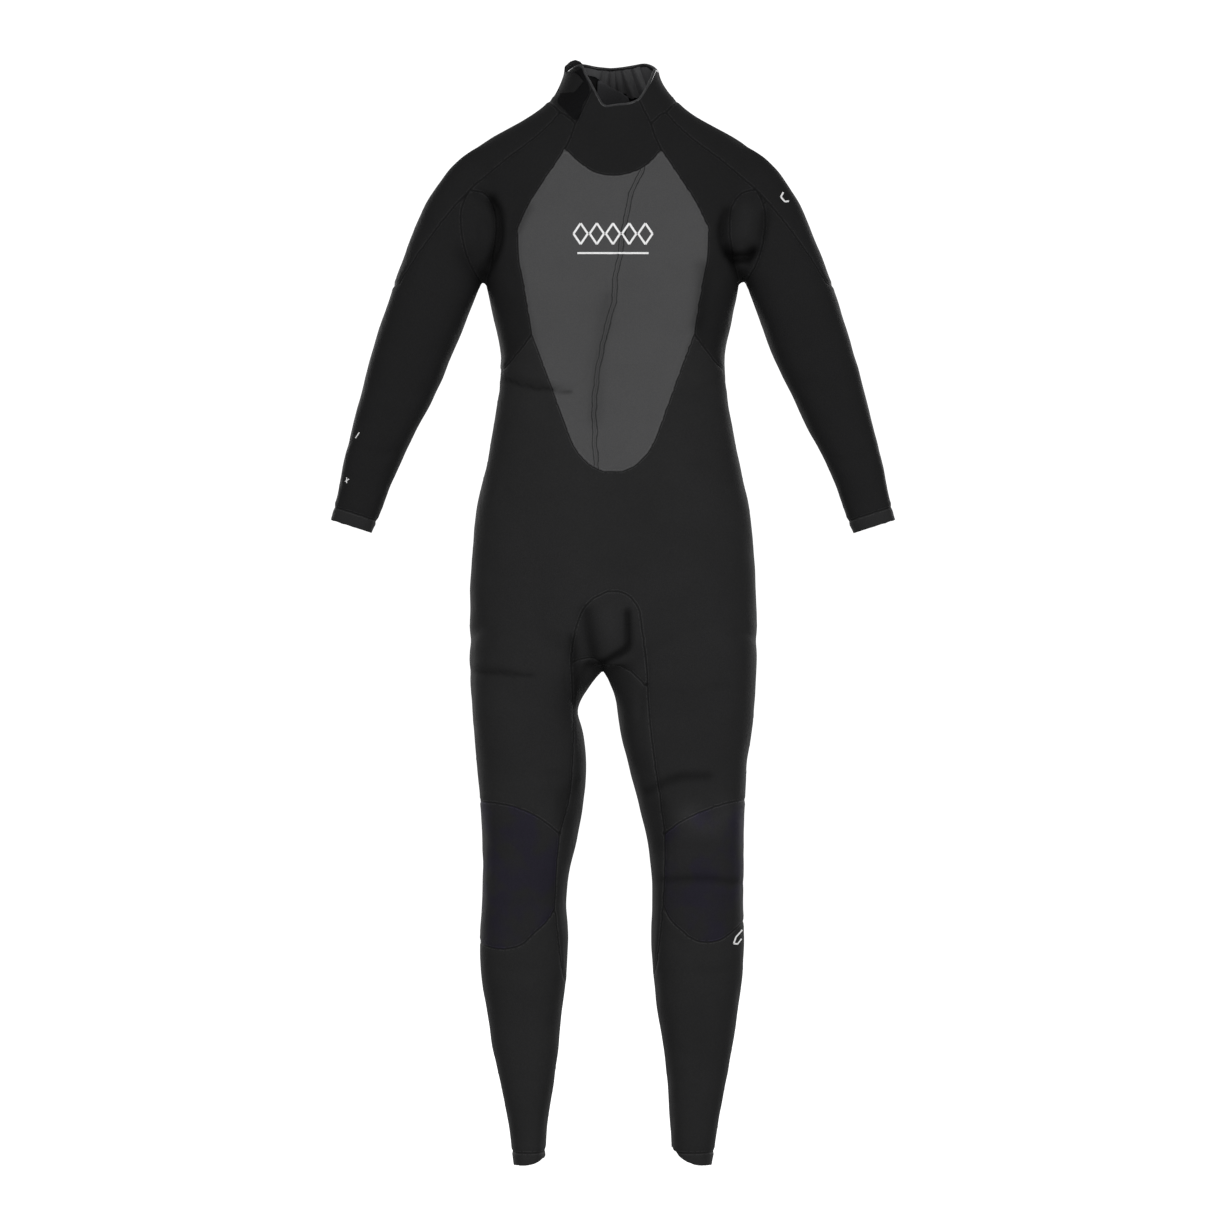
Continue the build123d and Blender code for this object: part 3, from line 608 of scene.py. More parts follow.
# ------------------------------------------------------------------ materials
def material(name, colour, rough, specular=0.25, sheen=0.0, grain=0.9, bump=0.25, mottle=0.25, metal=0.0,
             ribs=0.0, stitched=True, ridge=False, second=None):
    """Fabric, rubber or metal with fine grain, faint mottling and, along its seams, a stitched line; stitched
    materials also multiply in the painted shade and painted highlight of the 'shade' attribute, and with
    `ridge` the chest gets painted shade along its crease.
    """
    mat = bpy.data.materials.new(name)
    mat.use_nodes = True
    nodes, links = mat.node_tree.nodes, mat.node_tree.links
    shader = nodes["Principled BSDF"]
    shader.inputs["Metallic"].default_value = metal
    shader.inputs["Specular IOR Level"].default_value = specular
    shader.inputs["Sheen Weight"].default_value = sheen
    shader.inputs["Sheen Roughness"].default_value = 0.5
    shader.inputs["Coat Weight"].default_value = 0.0
    shader.inputs["Coat Roughness"].default_value = 0.35
    where = nodes.new("ShaderNodeTexCoord").outputs["Object"]

    def texture(kind, scale, **values):
        node = nodes.new(kind)
        node.inputs["Scale"].default_value = scale
        for key, value in values.items():
            if key in node.inputs:
                node.inputs[key].default_value = value
            else:
                setattr(node, key, value)
        links.new(where, node.inputs["Vector"])
        return node

    def maths(operation, a, b=None, c=None, clamp=False):
        node = nodes.new("ShaderNodeMath")
        node.operation, node.use_clamp = operation, clamp
        for socket, value in zip(node.inputs, (a, b, c)):
            if value is None:
                continue
            if isinstance(value, (int, float)):
                socket.default_value = value
            else:
                links.new(value, socket)
        return node.outputs[0]

    def attribute(name):
        node = nodes.new("ShaderNodeAttribute")
        node.attribute_name = name
        return node.outputs["Fac"]

    def stripe(across, centre, width):
        gap = maths("ABSOLUTE", maths("SUBTRACT", across, centre))
        return maths("SUBTRACT", 1.0, maths("DIVIDE", gap, width), clamp=True)

    cloud = texture("ShaderNodeTexNoise", 14.0, Detail=4.0, Roughness=0.6).outputs["Fac"]
    fine = texture("ShaderNodeTexNoise", 420.0 / grain, Detail=3.0, Roughness=0.7).outputs["Fac"]
    knit = texture("ShaderNodeTexVoronoi", 620.0 / grain).outputs["Distance"]
    shade = maths("MULTIPLY_ADD", cloud, 2 * mottle, 1 - mottle)
    shade = maths("MULTIPLY", shade, maths("MULTIPLY_ADD", fine, 0.5, 0.75))
    height = maths("ADD", maths("MULTIPLY", knit, 0.6), maths("MULTIPLY", fine, 0.7))
    if ribs:
        wave = texture("ShaderNodeTexWave", ribs, bands_direction="Z", Distortion=0.8).outputs["Fac"]
        height = maths("ADD", height, maths("MULTIPLY", wave, 1.6))
        shade = maths("MULTIPLY", shade, maths("MULTIPLY_ADD", wave, 0.35, 0.82))
    if stitched:
        gap = attribute("seam")
        line = stripe(gap, 1.9, 0.55)
        thread = texture("ShaderNodeTexNoise", 330.0, Detail=1.0).outputs["Fac"]
        line = maths("MULTIPLY", line, maths("GREATER_THAN", thread, 0.42))
        groove = maths("SUBTRACT", 1.0, maths("DIVIDE", gap, 0.9), clamp=True)
        shade = maths("MULTIPLY", shade, maths("MULTIPLY_ADD", groove, -0.6, 1.0))
        shade = maths("ADD", shade, maths("MULTIPLY", line, 1.25 if not ridge else 0.4))
        height = maths("ADD", height, maths("MULTIPLY", line, 1.4))
        # Painted shade and painted highlight from SHADES, carried by the 'shade' attribute.
        shade = maths("MULTIPLY", shade, attribute("shade"))
    # Painted shade: broken dark lines along the chest's crease, two beside its crest and a fainter one on it,
    # with a matching dip in the bump.
    if ridge:
        wander = texture("ShaderNodeTexNoise", 45.0, Detail=3.0, Roughness=0.6).outputs["Fac"]
        across = maths("ADD", attribute("ridge"), maths("MULTIPLY", maths("SUBTRACT", wander, 0.5), 7.0))
        left, right, middle = (stripe(across, *m) for m in ((3.1, 1.3), (-2.3, 1.1), (0.6, 0.6)))
        painted_crease_shade = maths("MAXIMUM", left, maths("MAXIMUM", right, maths("MULTIPLY", middle, 0.5)))
        broken_crease_shade = maths("MULTIPLY", painted_crease_shade, maths("ADD", maths("MULTIPLY", cloud, 1.2), 0.35, clamp=True))
        shade = maths("MULTIPLY", shade, maths("SUBTRACT", 1.0, maths("MULTIPLY", broken_crease_shade, 0.92)))
        height = maths("SUBTRACT", height, maths("MULTIPLY", broken_crease_shade, 3.0))
    tint = nodes.new("ShaderNodeVectorMath")
    tint.operation = "SCALE"
    tint.inputs[0].default_value = colour
    if second:
        blot = texture("ShaderNodeTexNoise", 26.0, Detail=3.0, Roughness=0.55).outputs["Fac"]
        blot = maths("MULTIPLY", maths("SUBTRACT", blot, 0.42), 6.0, clamp=True)
        mix = nodes.new("ShaderNodeMix")
        mix.data_type = "RGBA"
        mix.inputs[6].default_value = (*colour, 1)
        mix.inputs[7].default_value = (*second, 1)
        links.new(blot, mix.inputs[0])
        links.new(mix.outputs[2], tint.inputs[0])
    links.new(shade, tint.inputs["Scale"])
    links.new(tint.outputs["Vector"], shader.inputs["Base Color"])
    links.new(maths("MULTIPLY_ADD", cloud, 0.16, rough - 0.08), shader.inputs["Roughness"])
    relief = nodes.new("ShaderNodeBump")
    relief.inputs["Strength"].default_value = bump
    relief.inputs["Distance"].default_value = 0.0006
    links.new(height, relief.inputs["Height"])
    links.new(relief.outputs["Normal"], shader.inputs["Normal"])
    return mat


MATS = {
    "stretch_neoprene": material("stretch_neoprene", (0.0100, 0.0100, 0.0103), 0.75, 0.10, bump=0.22),
    "body_neoprene": material("body_neoprene", (0.0165, 0.0165, 0.0168), 0.80, 0.10, bump=0.28),
    "smoothskin": material("smoothskin", (0.058, 0.058, 0.059), 0.60, 0.18, grain=0.6, bump=0.14, mottle=0.12,
                           ridge=True),
    "knee_pad": material("knee_pad", (0.0150, 0.0148, 0.0158), 0.75, 0.12, bump=0.35, ribs=260.0,
                         second=(0.0140, 0.0125, 0.0205)),
    "hem_neoprene": material("hem_neoprene", (0.0175, 0.0175, 0.0178), 0.78, 0.12, bump=0.26),
    "collar_lining": material("collar_lining", (0.048, 0.048, 0.050), 0.5, 0.25, bump=0.2, stitched=False),
    "binding": material("binding", (0.013, 0.013, 0.014), 0.34, 0.45, bump=0.3, stitched=False),
    "hook_and_loop": material("hook_and_loop", (0.0056, 0.0056, 0.0059), 0.95, 0.05, grain=2.0, bump=0.9,
                              stitched=False),
    "zip_tape": material("zip_tape", (0.011, 0.011, 0.012), 0.8, 0.15, bump=0.5, ribs=420.0, stitched=False),
    "zip_teeth": material("zip_teeth", (0.022, 0.022, 0.024), 0.35, 0.5, bump=0.1, stitched=False),
    "slider_metal": material("slider_metal", (0.075, 0.075, 0.078), 0.36, 0.5, bump=0.12, metal=0.85,
                             stitched=False),
    "print": material("pale_print", (0.80, 0.80, 0.80), 0.5, 0.4, bump=0.15, mottle=0.06, stitched=False),
}


# ------------------------------------------------------------------ turning patches into pieces
def boundary_edges(tris):
    """Edges that only one triangle has, in that triangle's direction."""
    directed = np.concatenate([tris[:, [0, 1]], tris[:, [1, 2]], tris[:, [2, 0]]])
    key = np.sort(directed, axis=1)
    _, first, count = np.unique(key, axis=0, return_index=True, return_counts=True)
    return directed[first[count == 1]]


def ridge_offset(verts):
    """Distance across the suit from the crease line down the chest, where the chest material paints shade
    along the crease.
    """
    line = np.array(FOLDS[0][0], float)[::-1]
    return verts[:, 0] - np.interp(verts[:, 2], line[:, 1], line[:, 0])


def fields_of(verts, seam=None):
    """Values that the materials read at each vertex."""
    far = np.full(len(verts), 20.0)
    return {"seam": far if seam is None else seam, "shade": painted(verts), "ridge": ridge_offset(verts)}


def shell_piece(name, verts, tris, normals, mat, fields, high=0.0, low=-SKIN):
    """Closed sheet of neoprene between two offsets from a patch of surface, shaded by the given normals."""
    used, tris = np.unique(tris, return_inverse=True)
    tris = tris.reshape(-1, 3)
    v, n = verts[used], normals[used]
    count = len(used)
    rim = boundary_edges(tris)
    a, b = rim.T
    all_verts = np.vstack([v + n * high, v + n * low]) * MM
    faces = np.vstack([tris, tris[:, ::-1] + count, np.column_stack([b, a, a + count]),
                       np.column_stack([b, a + count, b + count])])
    mesh = bpy.data.meshes.new(name)
    mesh.vertices.add(len(all_verts))
    mesh.vertices.foreach_set("co", all_verts.ravel())
    mesh.loops.add(faces.size)
    mesh.loops.foreach_set("vertex_index", faces.ravel().astype(np.int32))
    mesh.polygons.add(len(faces))
    mesh.polygons.foreach_set("loop_start", np.arange(0, faces.size, 3, dtype=np.int32))
    mesh.update(calc_edges=True)
    mesh.validate()
    mesh.polygons.foreach_set("use_smooth", np.ones(len(mesh.polygons), bool))
    corner = np.vstack([n, -n])[faces]
    flat_rim = np.cross(all_verts[faces[:, 1]] - all_verts[faces[:, 0]],
                        all_verts[faces[:, 2]] - all_verts[faces[:, 0]])
    flat_rim /= np.linalg.norm(flat_rim, axis=1).clip(1e-12)[:, None]
    corner[2 * len(tris):] = flat_rim[2 * len(tris):, None, :]
    if len(mesh.loops) == faces.size:
        mesh.normals_split_custom_set(corner.reshape(-1, 3).tolist())
    for key, values in fields.items():
        layer = mesh.attributes.new(key, "FLOAT", "POINT")
        layer.data.foreach_set("value", np.tile(values[used], 2).astype(np.float32))
    mesh.materials.append(mat)
    obj = bpy.data.objects.new(name, mesh)
    bpy.context.scene.collection.objects.link(obj)
    return obj


def finish_piece(obj, slot, body, nodes=()):
    if nodes:
        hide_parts(*nodes)
    if len(body) == 1:
        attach(obj, body[0])
    else:
        a, b, start, end = body
        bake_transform(obj)
        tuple(start)
        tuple(end)
    return obj


def down_arm(side, s):
    """Point on the arm's axis, s millimetres below the shoulder's cut."""
    return (side * (214.5 + 0.345 * s) * MM, 0.0, (-222.5 - 0.9386 * s) * MM)


def body_for(name):
    side, word = (1, "left") if name.startswith("left") else (-1, "right")
    part = name.split("_", 1)[1]
    if part in ("upper_sleeve", "underarm_gusset"):
        return ("suit_body", word + "_upper_arm", down_arm(side, 2), down_arm(side, 60))
    if part == "forearm_sleeve":
        return (word + "_upper_arm", word + "_forearm", down_arm(side, 64), down_arm(side, 132))
    if part == "wrist_cuff":
        return (word + "_forearm",)
    if part in ("knee_pad", "calf_panel"):
        x = 0.107 * side
        return ("suit_body", word + "_shin", (x, 0, -0.917), (x, 0, -1.002))
    if part in ("shin_panel", "ankle_hem"):
        return (word + "_shin",)
    return SUIT


def nodes_for(name):
    if name == "front_body_panel":
        return [name, "left_thigh_front_panel", "right_thigh_front_panel"]
    side, part = name.split("_", 1)
    extra = {"flank_panel": ["flank_panel", "front_yoke_panel"],
             "shoulder_panel": ["shoulder_panel", "sleeve_head"],
             "knee_pad": ["knee_pad_upper", "knee_pad_lower"]}.get(part)
    return [f"{side}_{x}" for x in extra] if extra else [name]


def slot_for(name):
    part = name.split("_", 1)[1]
    if name == "chest_panel":
        return "smoothskin"
    if part == "knee_pad":
        return "knee_pad"
    if part in ("wrist_cuff", "ankle_hem"):
        return "hem_neoprene"
    if name in ("front_body_panel", "seat_panel", "crotch_gusset") or part in (
            "thigh_back_panel", "inner_thigh_panel", "shin_panel", "calf_panel"):
        return "body_neoprene"
    return "stretch_neoprene"


SEAMLESS = {("upper_sleeve", "forearm_sleeve"), ("thigh_back_panel", "calf_panel"),
            ("inner_thigh_panel", "calf_panel")}


def seamless(a, b):
    if a.split("_")[0] != b.split("_")[0]:
        return False
    pair = (a.split("_", 1)[1], b.split("_", 1)[1])
    return pair in SEAMLESS or pair[::-1] in SEAMLESS


def seam_distance(surface, names):
    """Distance of every vertex from the nearest real seam, up to 20 mm."""
    tris, label = surface.tris, surface.label
    directed = np.concatenate([tris[:, [0, 1]], tris[:, [1, 2]], tris[:, [2, 0]]])
    key = np.sort(directed, axis=1)
    owner = np.tile(label, 3)
    order = np.lexsort((key[:, 1], key[:, 0]))
    key, owner = key[order], owner[order]
    same = np.all(key[1:] == key[:-1], axis=1) & (owner[1:] != owner[:-1])
    pairs = np.where(same)[0]
    points = []
    for i in pairs:
        a, b = names[owner[i]], names[owner[i + 1]]
        if "waste" in (a, b) or seamless(a, b):
            continue
        p, q = surface.verts[key[i][0]], surface.verts[key[i][1]]
        points += [p, (p + q) / 2, q]
    tree = KDTree(len(points))
    for i, p in enumerate(points):
        tree.insert(p, i)
    tree.balance()
    return np.array([min(20.0, tree.find(v)[2]) for v in surface.verts])


# ------------------------------------------------------------------ build the suit
verts, tris = united_surface()
edges = edges_of(tris)
verts = relaxed(verts, edges, 16, (0.5, -0.51))
soft = np.zeros(len(verts))
for x, z, reach in ((160, -232, 34), (-160, -230, 34), (-12, -706, 30)):
    soft = np.maximum(soft, np.exp(-(((verts[:, 0] - x) ** 2 + (verts[:, 2] - z) ** 2) / reach**2)))
shoulder = np.exp(-(((abs(verts[:, 0]) - 165) / 45) ** 2 + ((verts[:, 2] + 95) / 70) ** 2))
verts = relaxed(verts, edges, 24, 0.5, np.maximum(soft * 0.08, shoulder * 0.45))
base_normals = vertex_normals(verts, tris)
base = (verts, tris, base_normals)

surface = Surface(verts + base_normals * fold_heights(verts)[:, None], tris)
names = make_panels(surface)
seam = seam_distance(surface, names)
kept = np.array([names[i] != "waste" for i in surface.label])
rough_normals = vertex_normals(surface.verts, surface.tris)
groove = -1.0 * np.exp(-((seam / 2.2) ** 2)) + 0.35 * np.exp(-(((seam - 5.0) / 2.5) ** 2))
surface.verts = surface.verts + rough_normals * groove[:, None]
owner = np.array(surface.label)
fields = fields_of(surface.verts, seam)
suit_tree = BVHTree.FromPolygons([tuple(v) for v in surface.verts],
                                 [tuple(t) for t in surface.tris[kept].tolist()])

for index, name in enumerate(names):
    if name == "waste":
        continue
    mine = owner == index
    if not mine.any():
        raise RuntimeError(f"no surface left for {name}")
    kin = mine | np.isin(owner, [i for i, other in enumerate(names) if other != "waste" and seamless(name,
                                                                                                     other)])
    normals = vertex_normals(surface.verts, surface.tris[kin])
    slot = slot_for(name)
    piece = shell_piece(name, surface.verts, surface.tris[mine], normals, MATS[slot], fields)
    finish_piece(piece, slot, body_for(name), nodes_for(name))


# ------------------------------------------------------------------ collar: lining, binding, closure
def finer(verts, tris):
    """Each triangle split into four."""
    directed = np.concatenate([tris[:, [0, 1]], tris[:, [1, 2]], tris[:, [2, 0]]])
    key, where = np.unique(np.sort(directed, axis=1), axis=0, return_inverse=True)
    ab, bc, ca = (where.ravel().reshape(3, -1) + len(verts))
    a, b, c = tris.T
    verts = np.vstack([verts, (verts[key[:, 0]] + verts[key[:, 1]]) / 2])
    return verts, np.vstack([np.column_stack(t) for t in ((a, ab, ca), (ab, b, bc), (ca, bc, c),
                                                          (ab, bc, ca))])


def layer_piece(name, value, low, high, slot, body, nodes, shape=None):
    """Piece that follows the suit's smooth surface where value(verts) is below zero."""
    near = (base[0][:, 2] > -60) & (abs(base[0][:, 0]) < 110)
    tris_near = base[1][near[base[1]].all(1)]
    patch = Surface(*finer(*finer(base[0], tris_near))) if shape is not None else Surface(*finer(base[0],
                                                                                                 tris_near))
    chosen = patch.cut(value(patch.verts), snap=0.3)
    tris_in = patch.tris[chosen]
    points = patch.verts.copy()
    directions = vertex_normals(points, patch.tris)
    if shape is not None:
        points = points + directions * shape(points)[:, None]
        directions = vertex_normals(points, patch.tris)
    piece = shell_piece(name, points, tris_in, directions, MATS[slot], fields_of(points), high, low)
    return finish_piece(piece, slot, body, nodes)


def rounded_rectangle(v, x0, x1, z0, z1, radius):
    """Signed distance from a rounded rectangle in X and Z."""
    dx = abs(v[:, 0] - (x0 + x1) / 2) - (x1 - x0) / 2 + radius
    dz = abs(v[:, 2] - (z0 + z1) / 2) - (z1 - z0) / 2 + radius
    return np.hypot(dx.clip(0), dz.clip(0)) + np.minimum(np.maximum(dx, dz), 0) - radius


LINING_EDGE = [(-62, 40), (-24, 35), (-9, 24), (7, 15), (24, 9), (37, 7), (62, 5)]


def lining_value(v):
    x, y, z = v.T
    behind = np.maximum.reduce([np.interp(x, *np.array(LINING_EDGE).T) - z, 1 - y, abs(x) - 57])
    top = z - (collar_top(x, y) - 3)
    ring = np.maximum(y - 1, z + 30)
    low_front = inside_distance(v[:, [0, 2]], curve(NECK_EDGE) + np.array([0, -3.5]))
    band = np.maximum.reduce([ring, -low_front, np.interp(abs(x), [0, 30, 60], [-28, -8, 10]) - z])
    return np.minimum(np.maximum(behind, top), np.maximum(band, top))


def lining_shape(v):
    x, y, z = v.T
    height = np.zeros(len(v))
    for centre, lean, amount, width in ((-18, 0.25, -2.2, 2.2), (-12, 0.2, 2.0, 2.2), (-4, 0.05, -1.6, 2.0),
                                        (0, 0.0, 2.4, 2.0), (4, -0.1, -1.8, 1.8), (9, -0.2, 2.6, 2.2),
                                        (15, -0.3, -1.6, 2.4), (22, -0.4, 1.8, 2.4), (30, -0.35, -1.6, 2.8),
                                        (38, -0.4, 1.4, 2.6), (44, -0.4, -1.4, 2.4)):
        height -= amount * np.exp(-(((x - centre - lean * (z - 25)) / width) ** 2))
    return height * (y > 0)


layer_piece("collar_lining", lining_value, -SKIN - 2.6, -SKIN - 1.6, "collar_lining", SUIT,
            ["collar_lining"], lining_shape)

# Upper edge of the flap's root, X and Z.
BASE_TOP = [(-72, 8), (-66, 24), (-63, 31), (-60, 37), (-56, 43), (-51, 48), (-46, 50), (-41, 48.5),
            (-37, 45),
            (-30, 40), (-24, 36)]


def closure_base_value(v):
    x, y, z = v.T
    slope = 5 * np.clip(y / 50, 0, 1) - 0.5 * np.clip(18 - y, 0, 60)
    top = np.interp(x, *np.array(BASE_TOP, float).T) + slope
    return np.maximum.reduce([z - top, 7 - z, x + 24, -30 - y])


def closure_base_shape(v):
    """Lets the flap's root sink into the collar along its lower edge."""
    return -2.8 * np.exp(-(((v[:, 2] - 6) / 12) ** 2))


layer_piece("closure_base", closure_base_value, 0.5, 3.5, "stretch_neoprene", SUIT, ["closure_base"],
            closure_base_shape)
# Very dark thin sheet over the collar's front at the wearer's right, in the hook-and-loop material.
SIDE_PATCH = curve([(-39, 38), (-34, 24), (-29, 10), (-37, -8), (-47, -29), (-58, -17), (-69, -3), (-63, 10),
                    (-54, 28),
                    (-39, 38)], 4.0)
layer_piece("side_dark_patch", lambda v: np.maximum(inside_distance(v[:, [0, 2]], SIDE_PATCH[:-1]),
                                                    v[:, 1] + 1),
            0.1, 0.7, "hook_and_loop", SUIT, ())
layer_piece("loop_patch", lambda v: np.maximum(rounded_rectangle(v, 6, 32, 9, 35, 4), -v[:, 1]),
            0.15, 1.0, "hook_and_loop", SUIT, ["loop_patch"])
layer_piece("hook_patch", lambda v: np.maximum(rounded_rectangle(v, 8, 32, 10, 34, 5), -v[:, 1]),
            1.45, 2.3, "hook_and_loop", ("closure_flap",), ["hook_patch"])
layer_piece("closure_tab", lambda v: np.maximum.reduce([rounded_rectangle(v, -42, 36, 7, 37, 9), -v[:, 1],
                                                        -22 - v[:, 0]]),
            2.4, 5.4, "stretch_neoprene", ("closure_flap",), ["closure_tab"])


def ordered_loop(edges_in):
    """Vertices of the longest closed chain of directed edges."""
    following = {}
    for a, b in edges_in:
        following.setdefault(int(a), []).append(int(b))
    best, seen = [], set()
    for first in list(following):
        if first in seen:
            continue
        chain, at = [first], first
        seen.add(first)
        while True:
            options = [b for b in following.get(at, []) if b not in seen]
            if not options:
                break
            at = options[0]
            seen.add(at)
            chain.append(at)
        if len(chain) > len(best):
            best = chain
    return best


def swept_tube(name, centres, ups, sides, half_up, half_side, slot, body, nodes):
    """Tube with an oval section round a closed line of points."""
    n, k = len(centres), 12
    angle = np.linspace(0, 2 * math.pi, k, endpoint=False)
    points = (centres[:, None] + ups[:, None] * (half_up * np.sin(angle))[None, :, None]
              + sides[:, None] * (half_side * np.cos(angle))[None, :, None]).reshape(-1, 3)
    faces = [(i * k + j, i * k + (j + 1) % k, (i + 1) % n * k + (j + 1) % k, (i + 1) % n * k + j)
             for i in range(n) for j in range(k)]
    obj = to_object(name, points, faces, smooth=True)
    obj.data.materials.append(MATS[slot])
    return finish_piece(obj, slot, body, nodes)


rim = boundary_edges(surface.tris[kept])
middle = surface.verts[rim].mean(1)
rim = rim[(middle[:, 2] > -60) & ((middle[:, 1] < 20) | (middle[:, 2] > 20))]
loop = ordered_loop(rim)
line = surface.verts[loop] - rough_normals[loop] * SKIN / 2
for _ in range(3):
    line = (np.roll(line, 1, 0) + line * 2 + np.roll(line, -1, 0)) / 4
length = np.concatenate([[0], np.cumsum(np.linalg.norm(np.diff(line, axis=0), axis=1))])
even = np.linspace(0, length[-1], 190)
line = np.column_stack([np.interp(even, length, line[:, k]) for k in range(3)])
outward = rough_normals[loop]
outward = np.column_stack([np.interp(even, length, outward[:, k]) for k in range(3)])
tangent = np.roll(line, -1, 0) - np.roll(line, 1, 0)
tangent /= np.linalg.norm(tangent, axis=1)[:, None]
outward -= tangent * (outward * tangent).sum(1)[:, None]
outward /= np.linalg.norm(outward, axis=1)[:, None]
swept_tube("collar_binding", line, np.cross(tangent, outward), outward, 1.9, 2.0, "binding", SUIT,
           ["collar_binding"])


# ------------------------------------------------------------------ zip
def grid_piece(name, outline_rows, y_at, thick, slot, body, nodes):
    """Sheet standing across Y from rows of (z, x0, x1), with a rounded edge."""
    rows = smooth_rows(sorted(outline_rows), 5.0)
    columns = 25
    share = np.linspace(0, 1, columns)
    front_face, back_face = [], []
    for z, x0, x1 in rows:
        x = x0 + (x1 - x0) * share
        half = thick / 2 * np.clip(np.minimum(share, 1 - share) * abs(x1 - x0) / 1.2, 0.25, 1) ** 0.5
        y = y_at(x, z)
        front_face.append(np.column_stack([x, y - half, np.full(columns, z)]))
        back_face.append(np.column_stack([x, y + half, np.full(columns, z)]))
    front_face, back_face = np.array(front_face), np.array(back_face)
    n, m = front_face.shape[:2]
    points = np.concatenate([front_face.reshape(-1, 3), back_face.reshape(-1, 3)])
    faces, shift = [], n * m
    for i in range(n - 1):
        for j in range(m - 1):
            a, b, c, d = i * m + j, i * m + j + 1, (i + 1) * m + j + 1, (i + 1) * m + j
            faces += [(a, b, c, d), (d + shift, c + shift, b + shift, a + shift)]
    border = [i * m for i in range(n)] + [(n - 1) * m + j for j in range(1, m)] + \
        [i * m + m - 1 for i in range(n - 2, -1, -1)] + [j for j in range(m - 2, 0, -1)]
    for a, b in zip(border, border[1:] + border[:1]):
        faces.append((a, b, b + shift, a + shift))
    obj = to_object(name, points, faces, smooth=True)
    obj.data.materials.append(MATS[slot])
    return finish_piece(obj, slot, body, nodes)


guard = grid_piece("zip_guard_panel", [(30, -19, -16), (26, -19.5, -10), (20, -20, 0), (14, -20, 12),
                                       (9, -20.5, 19),
                                       (0, -21, 21), (-30, -36, 36), (-70, -47, 47), (-200, -48, 48),
                                       (-438, -47, 47)],
                   lambda x, z: 59.0 + 0.9 * np.sin(z / 31.0) * np.cos(x / 22.0), 2.4, "body_neoprene", SUIT,
                   ["zip_guard_panel"])
# The guard inside the neck gets a lighter copy of the neoprene: painted light, since little lamp light
# reaches inside the neck.
guard.data.materials[0] = material("guard", (0.055, 0.055, 0.058), 0.8, 0.12, bump=0.3, stitched=False)
for side, word in ((1, "left"), (-1, "right")):
    grid_piece(word + "_zip_tape", [(z, *sorted((side * 0.5, side * 17.0))) for z in (-430, -200, 2.3)],
               lambda x, z: 62.75 + 0 * x, 0.9, "zip_tape", SUIT, [word + "_zip_tape"])


def zip_teeth(name, side):
    """Moulded teeth along one tape, with heads that reach between those of the other side."""
    points, faces = [], []
    pitch, height = 2.6, 1.7
    z = ZIP_BOTTOM + 2.2 + (pitch / 2 if side < 0 else 0)
    while z < ZIP_TOP - 5.5:
        head = [(-0.55, 0.55), (0.35, 0.95), (1.6, 0.62), (3.6, 0.75)]
        start = len(points)
        for x, half in head:
            for y in (63.4, 65.8):
                inner_half = half * (0.82 if y > 65 else 1.0)
                points += [(side * x, y, z - inner_half * height / 2),
                           (side * x, y, z + inner_half * height / 2)]
        for i in range(len(head) - 1):
            a, b = start + i * 4, start + (i + 1) * 4
            faces += [(a, a + 1, b + 1, b), (a + 2, b + 2, b + 3, a + 3), (a, b, b + 2, a + 2),
                      (a + 1, a + 3, b + 3, b + 1)]
        end = start + (len(head) - 1) * 4
        faces += [(start, start + 2, start + 3, start + 1), (end, end + 1, end + 3, end + 2)]
        z += pitch
    if side < 0:
        faces = [f[::-1] for f in faces]
    obj = to_object(name, points, faces)
    bevel = obj.modifiers.new("bevel", "BEVEL")
    bevel.width, bevel.segments = 0.12 * MM, 1
    obj.data.materials.append(MATS["zip_teeth"])
    return finish_piece(obj, "zip_teeth", SUIT, [name])


zip_teeth("left_zip_teeth", 1)
zip_teeth("right_zip_teeth", -1)
for node, slot in (("zip_slider", "slider_metal"), ("zip_pull", "slider_metal"),
                   ("zip_top_stops", "zip_teeth"),
                   ("zip_bottom_stop", "zip_teeth")):
    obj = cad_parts[node]
    obj.data.materials.clear()
    obj.data.materials.append(MATS[slot])


# ------------------------------------------------------------------ prints
def printed(name, shapes, body):
    """Thin raised print: flat shapes in X and Z, laid on the suit as seen from the front."""
    points, faces = [], []
    for shape in shapes:
        shape = np.array(shape, float)
        centre = shape.mean(0)
        rings = [1.0, 0.66, 0.33]
        start = len(points)
        for r in rings:
            points += [tuple(p) for p in centre + (shape - centre) * r]
        points.append(tuple(centre))
        n = len(shape)
        for k in range(len(rings) - 1):
            for i in range(n):
                j = (i + 1) % n
                faces.append((start + k * n + i, start + k * n + j, start + (k + 1) * n + j,
                              start + (k + 1) * n + i))
        last = start + (len(rings) - 1) * n
        faces += [(last + i, last + (i + 1) % n, start + len(rings) * n) for i in range(n)]
    placed = []
    for x, z in points:
        hit, normal, _, _ = suit_tree.ray_cast(Vector((x, -400, z)), Vector((0, 1, 0)))
        if hit is None:
            hit, normal, _, _ = suit_tree.find_nearest(Vector((x, 0, z)))
        placed.append(np.array(hit + normal * 0.22))
    obj = to_object(name, placed, faces)
    solid = obj.modifiers.new("thick", "SOLIDIFY")
    solid.thickness, solid.offset = 0.2 * MM, -1.0
    obj.data.materials.append(MATS["print"])
    return finish_piece(obj, "smoothskin" if name == "chest_print" else "stretch_neoprene", body)


def band(points, width):
    """Closed outline of a stroke of even width, as short quads."""
    points = np.array(points, float)
    quads = []
    for a, b in zip(points[:-1], points[1:]):
        d = (b - a) / np.linalg.norm(b - a)
        n = np.array([-d[1], d[0]]) * width / 2
        steps = max(1, int(np.linalg.norm(b - a) / 5))
        for i in range(steps):
            p, q = a + (b - a) * i / steps, a + (b - a) * (i + 1) / steps
            quads.append([p - n, q - n, q + n, p + n])
    return quads


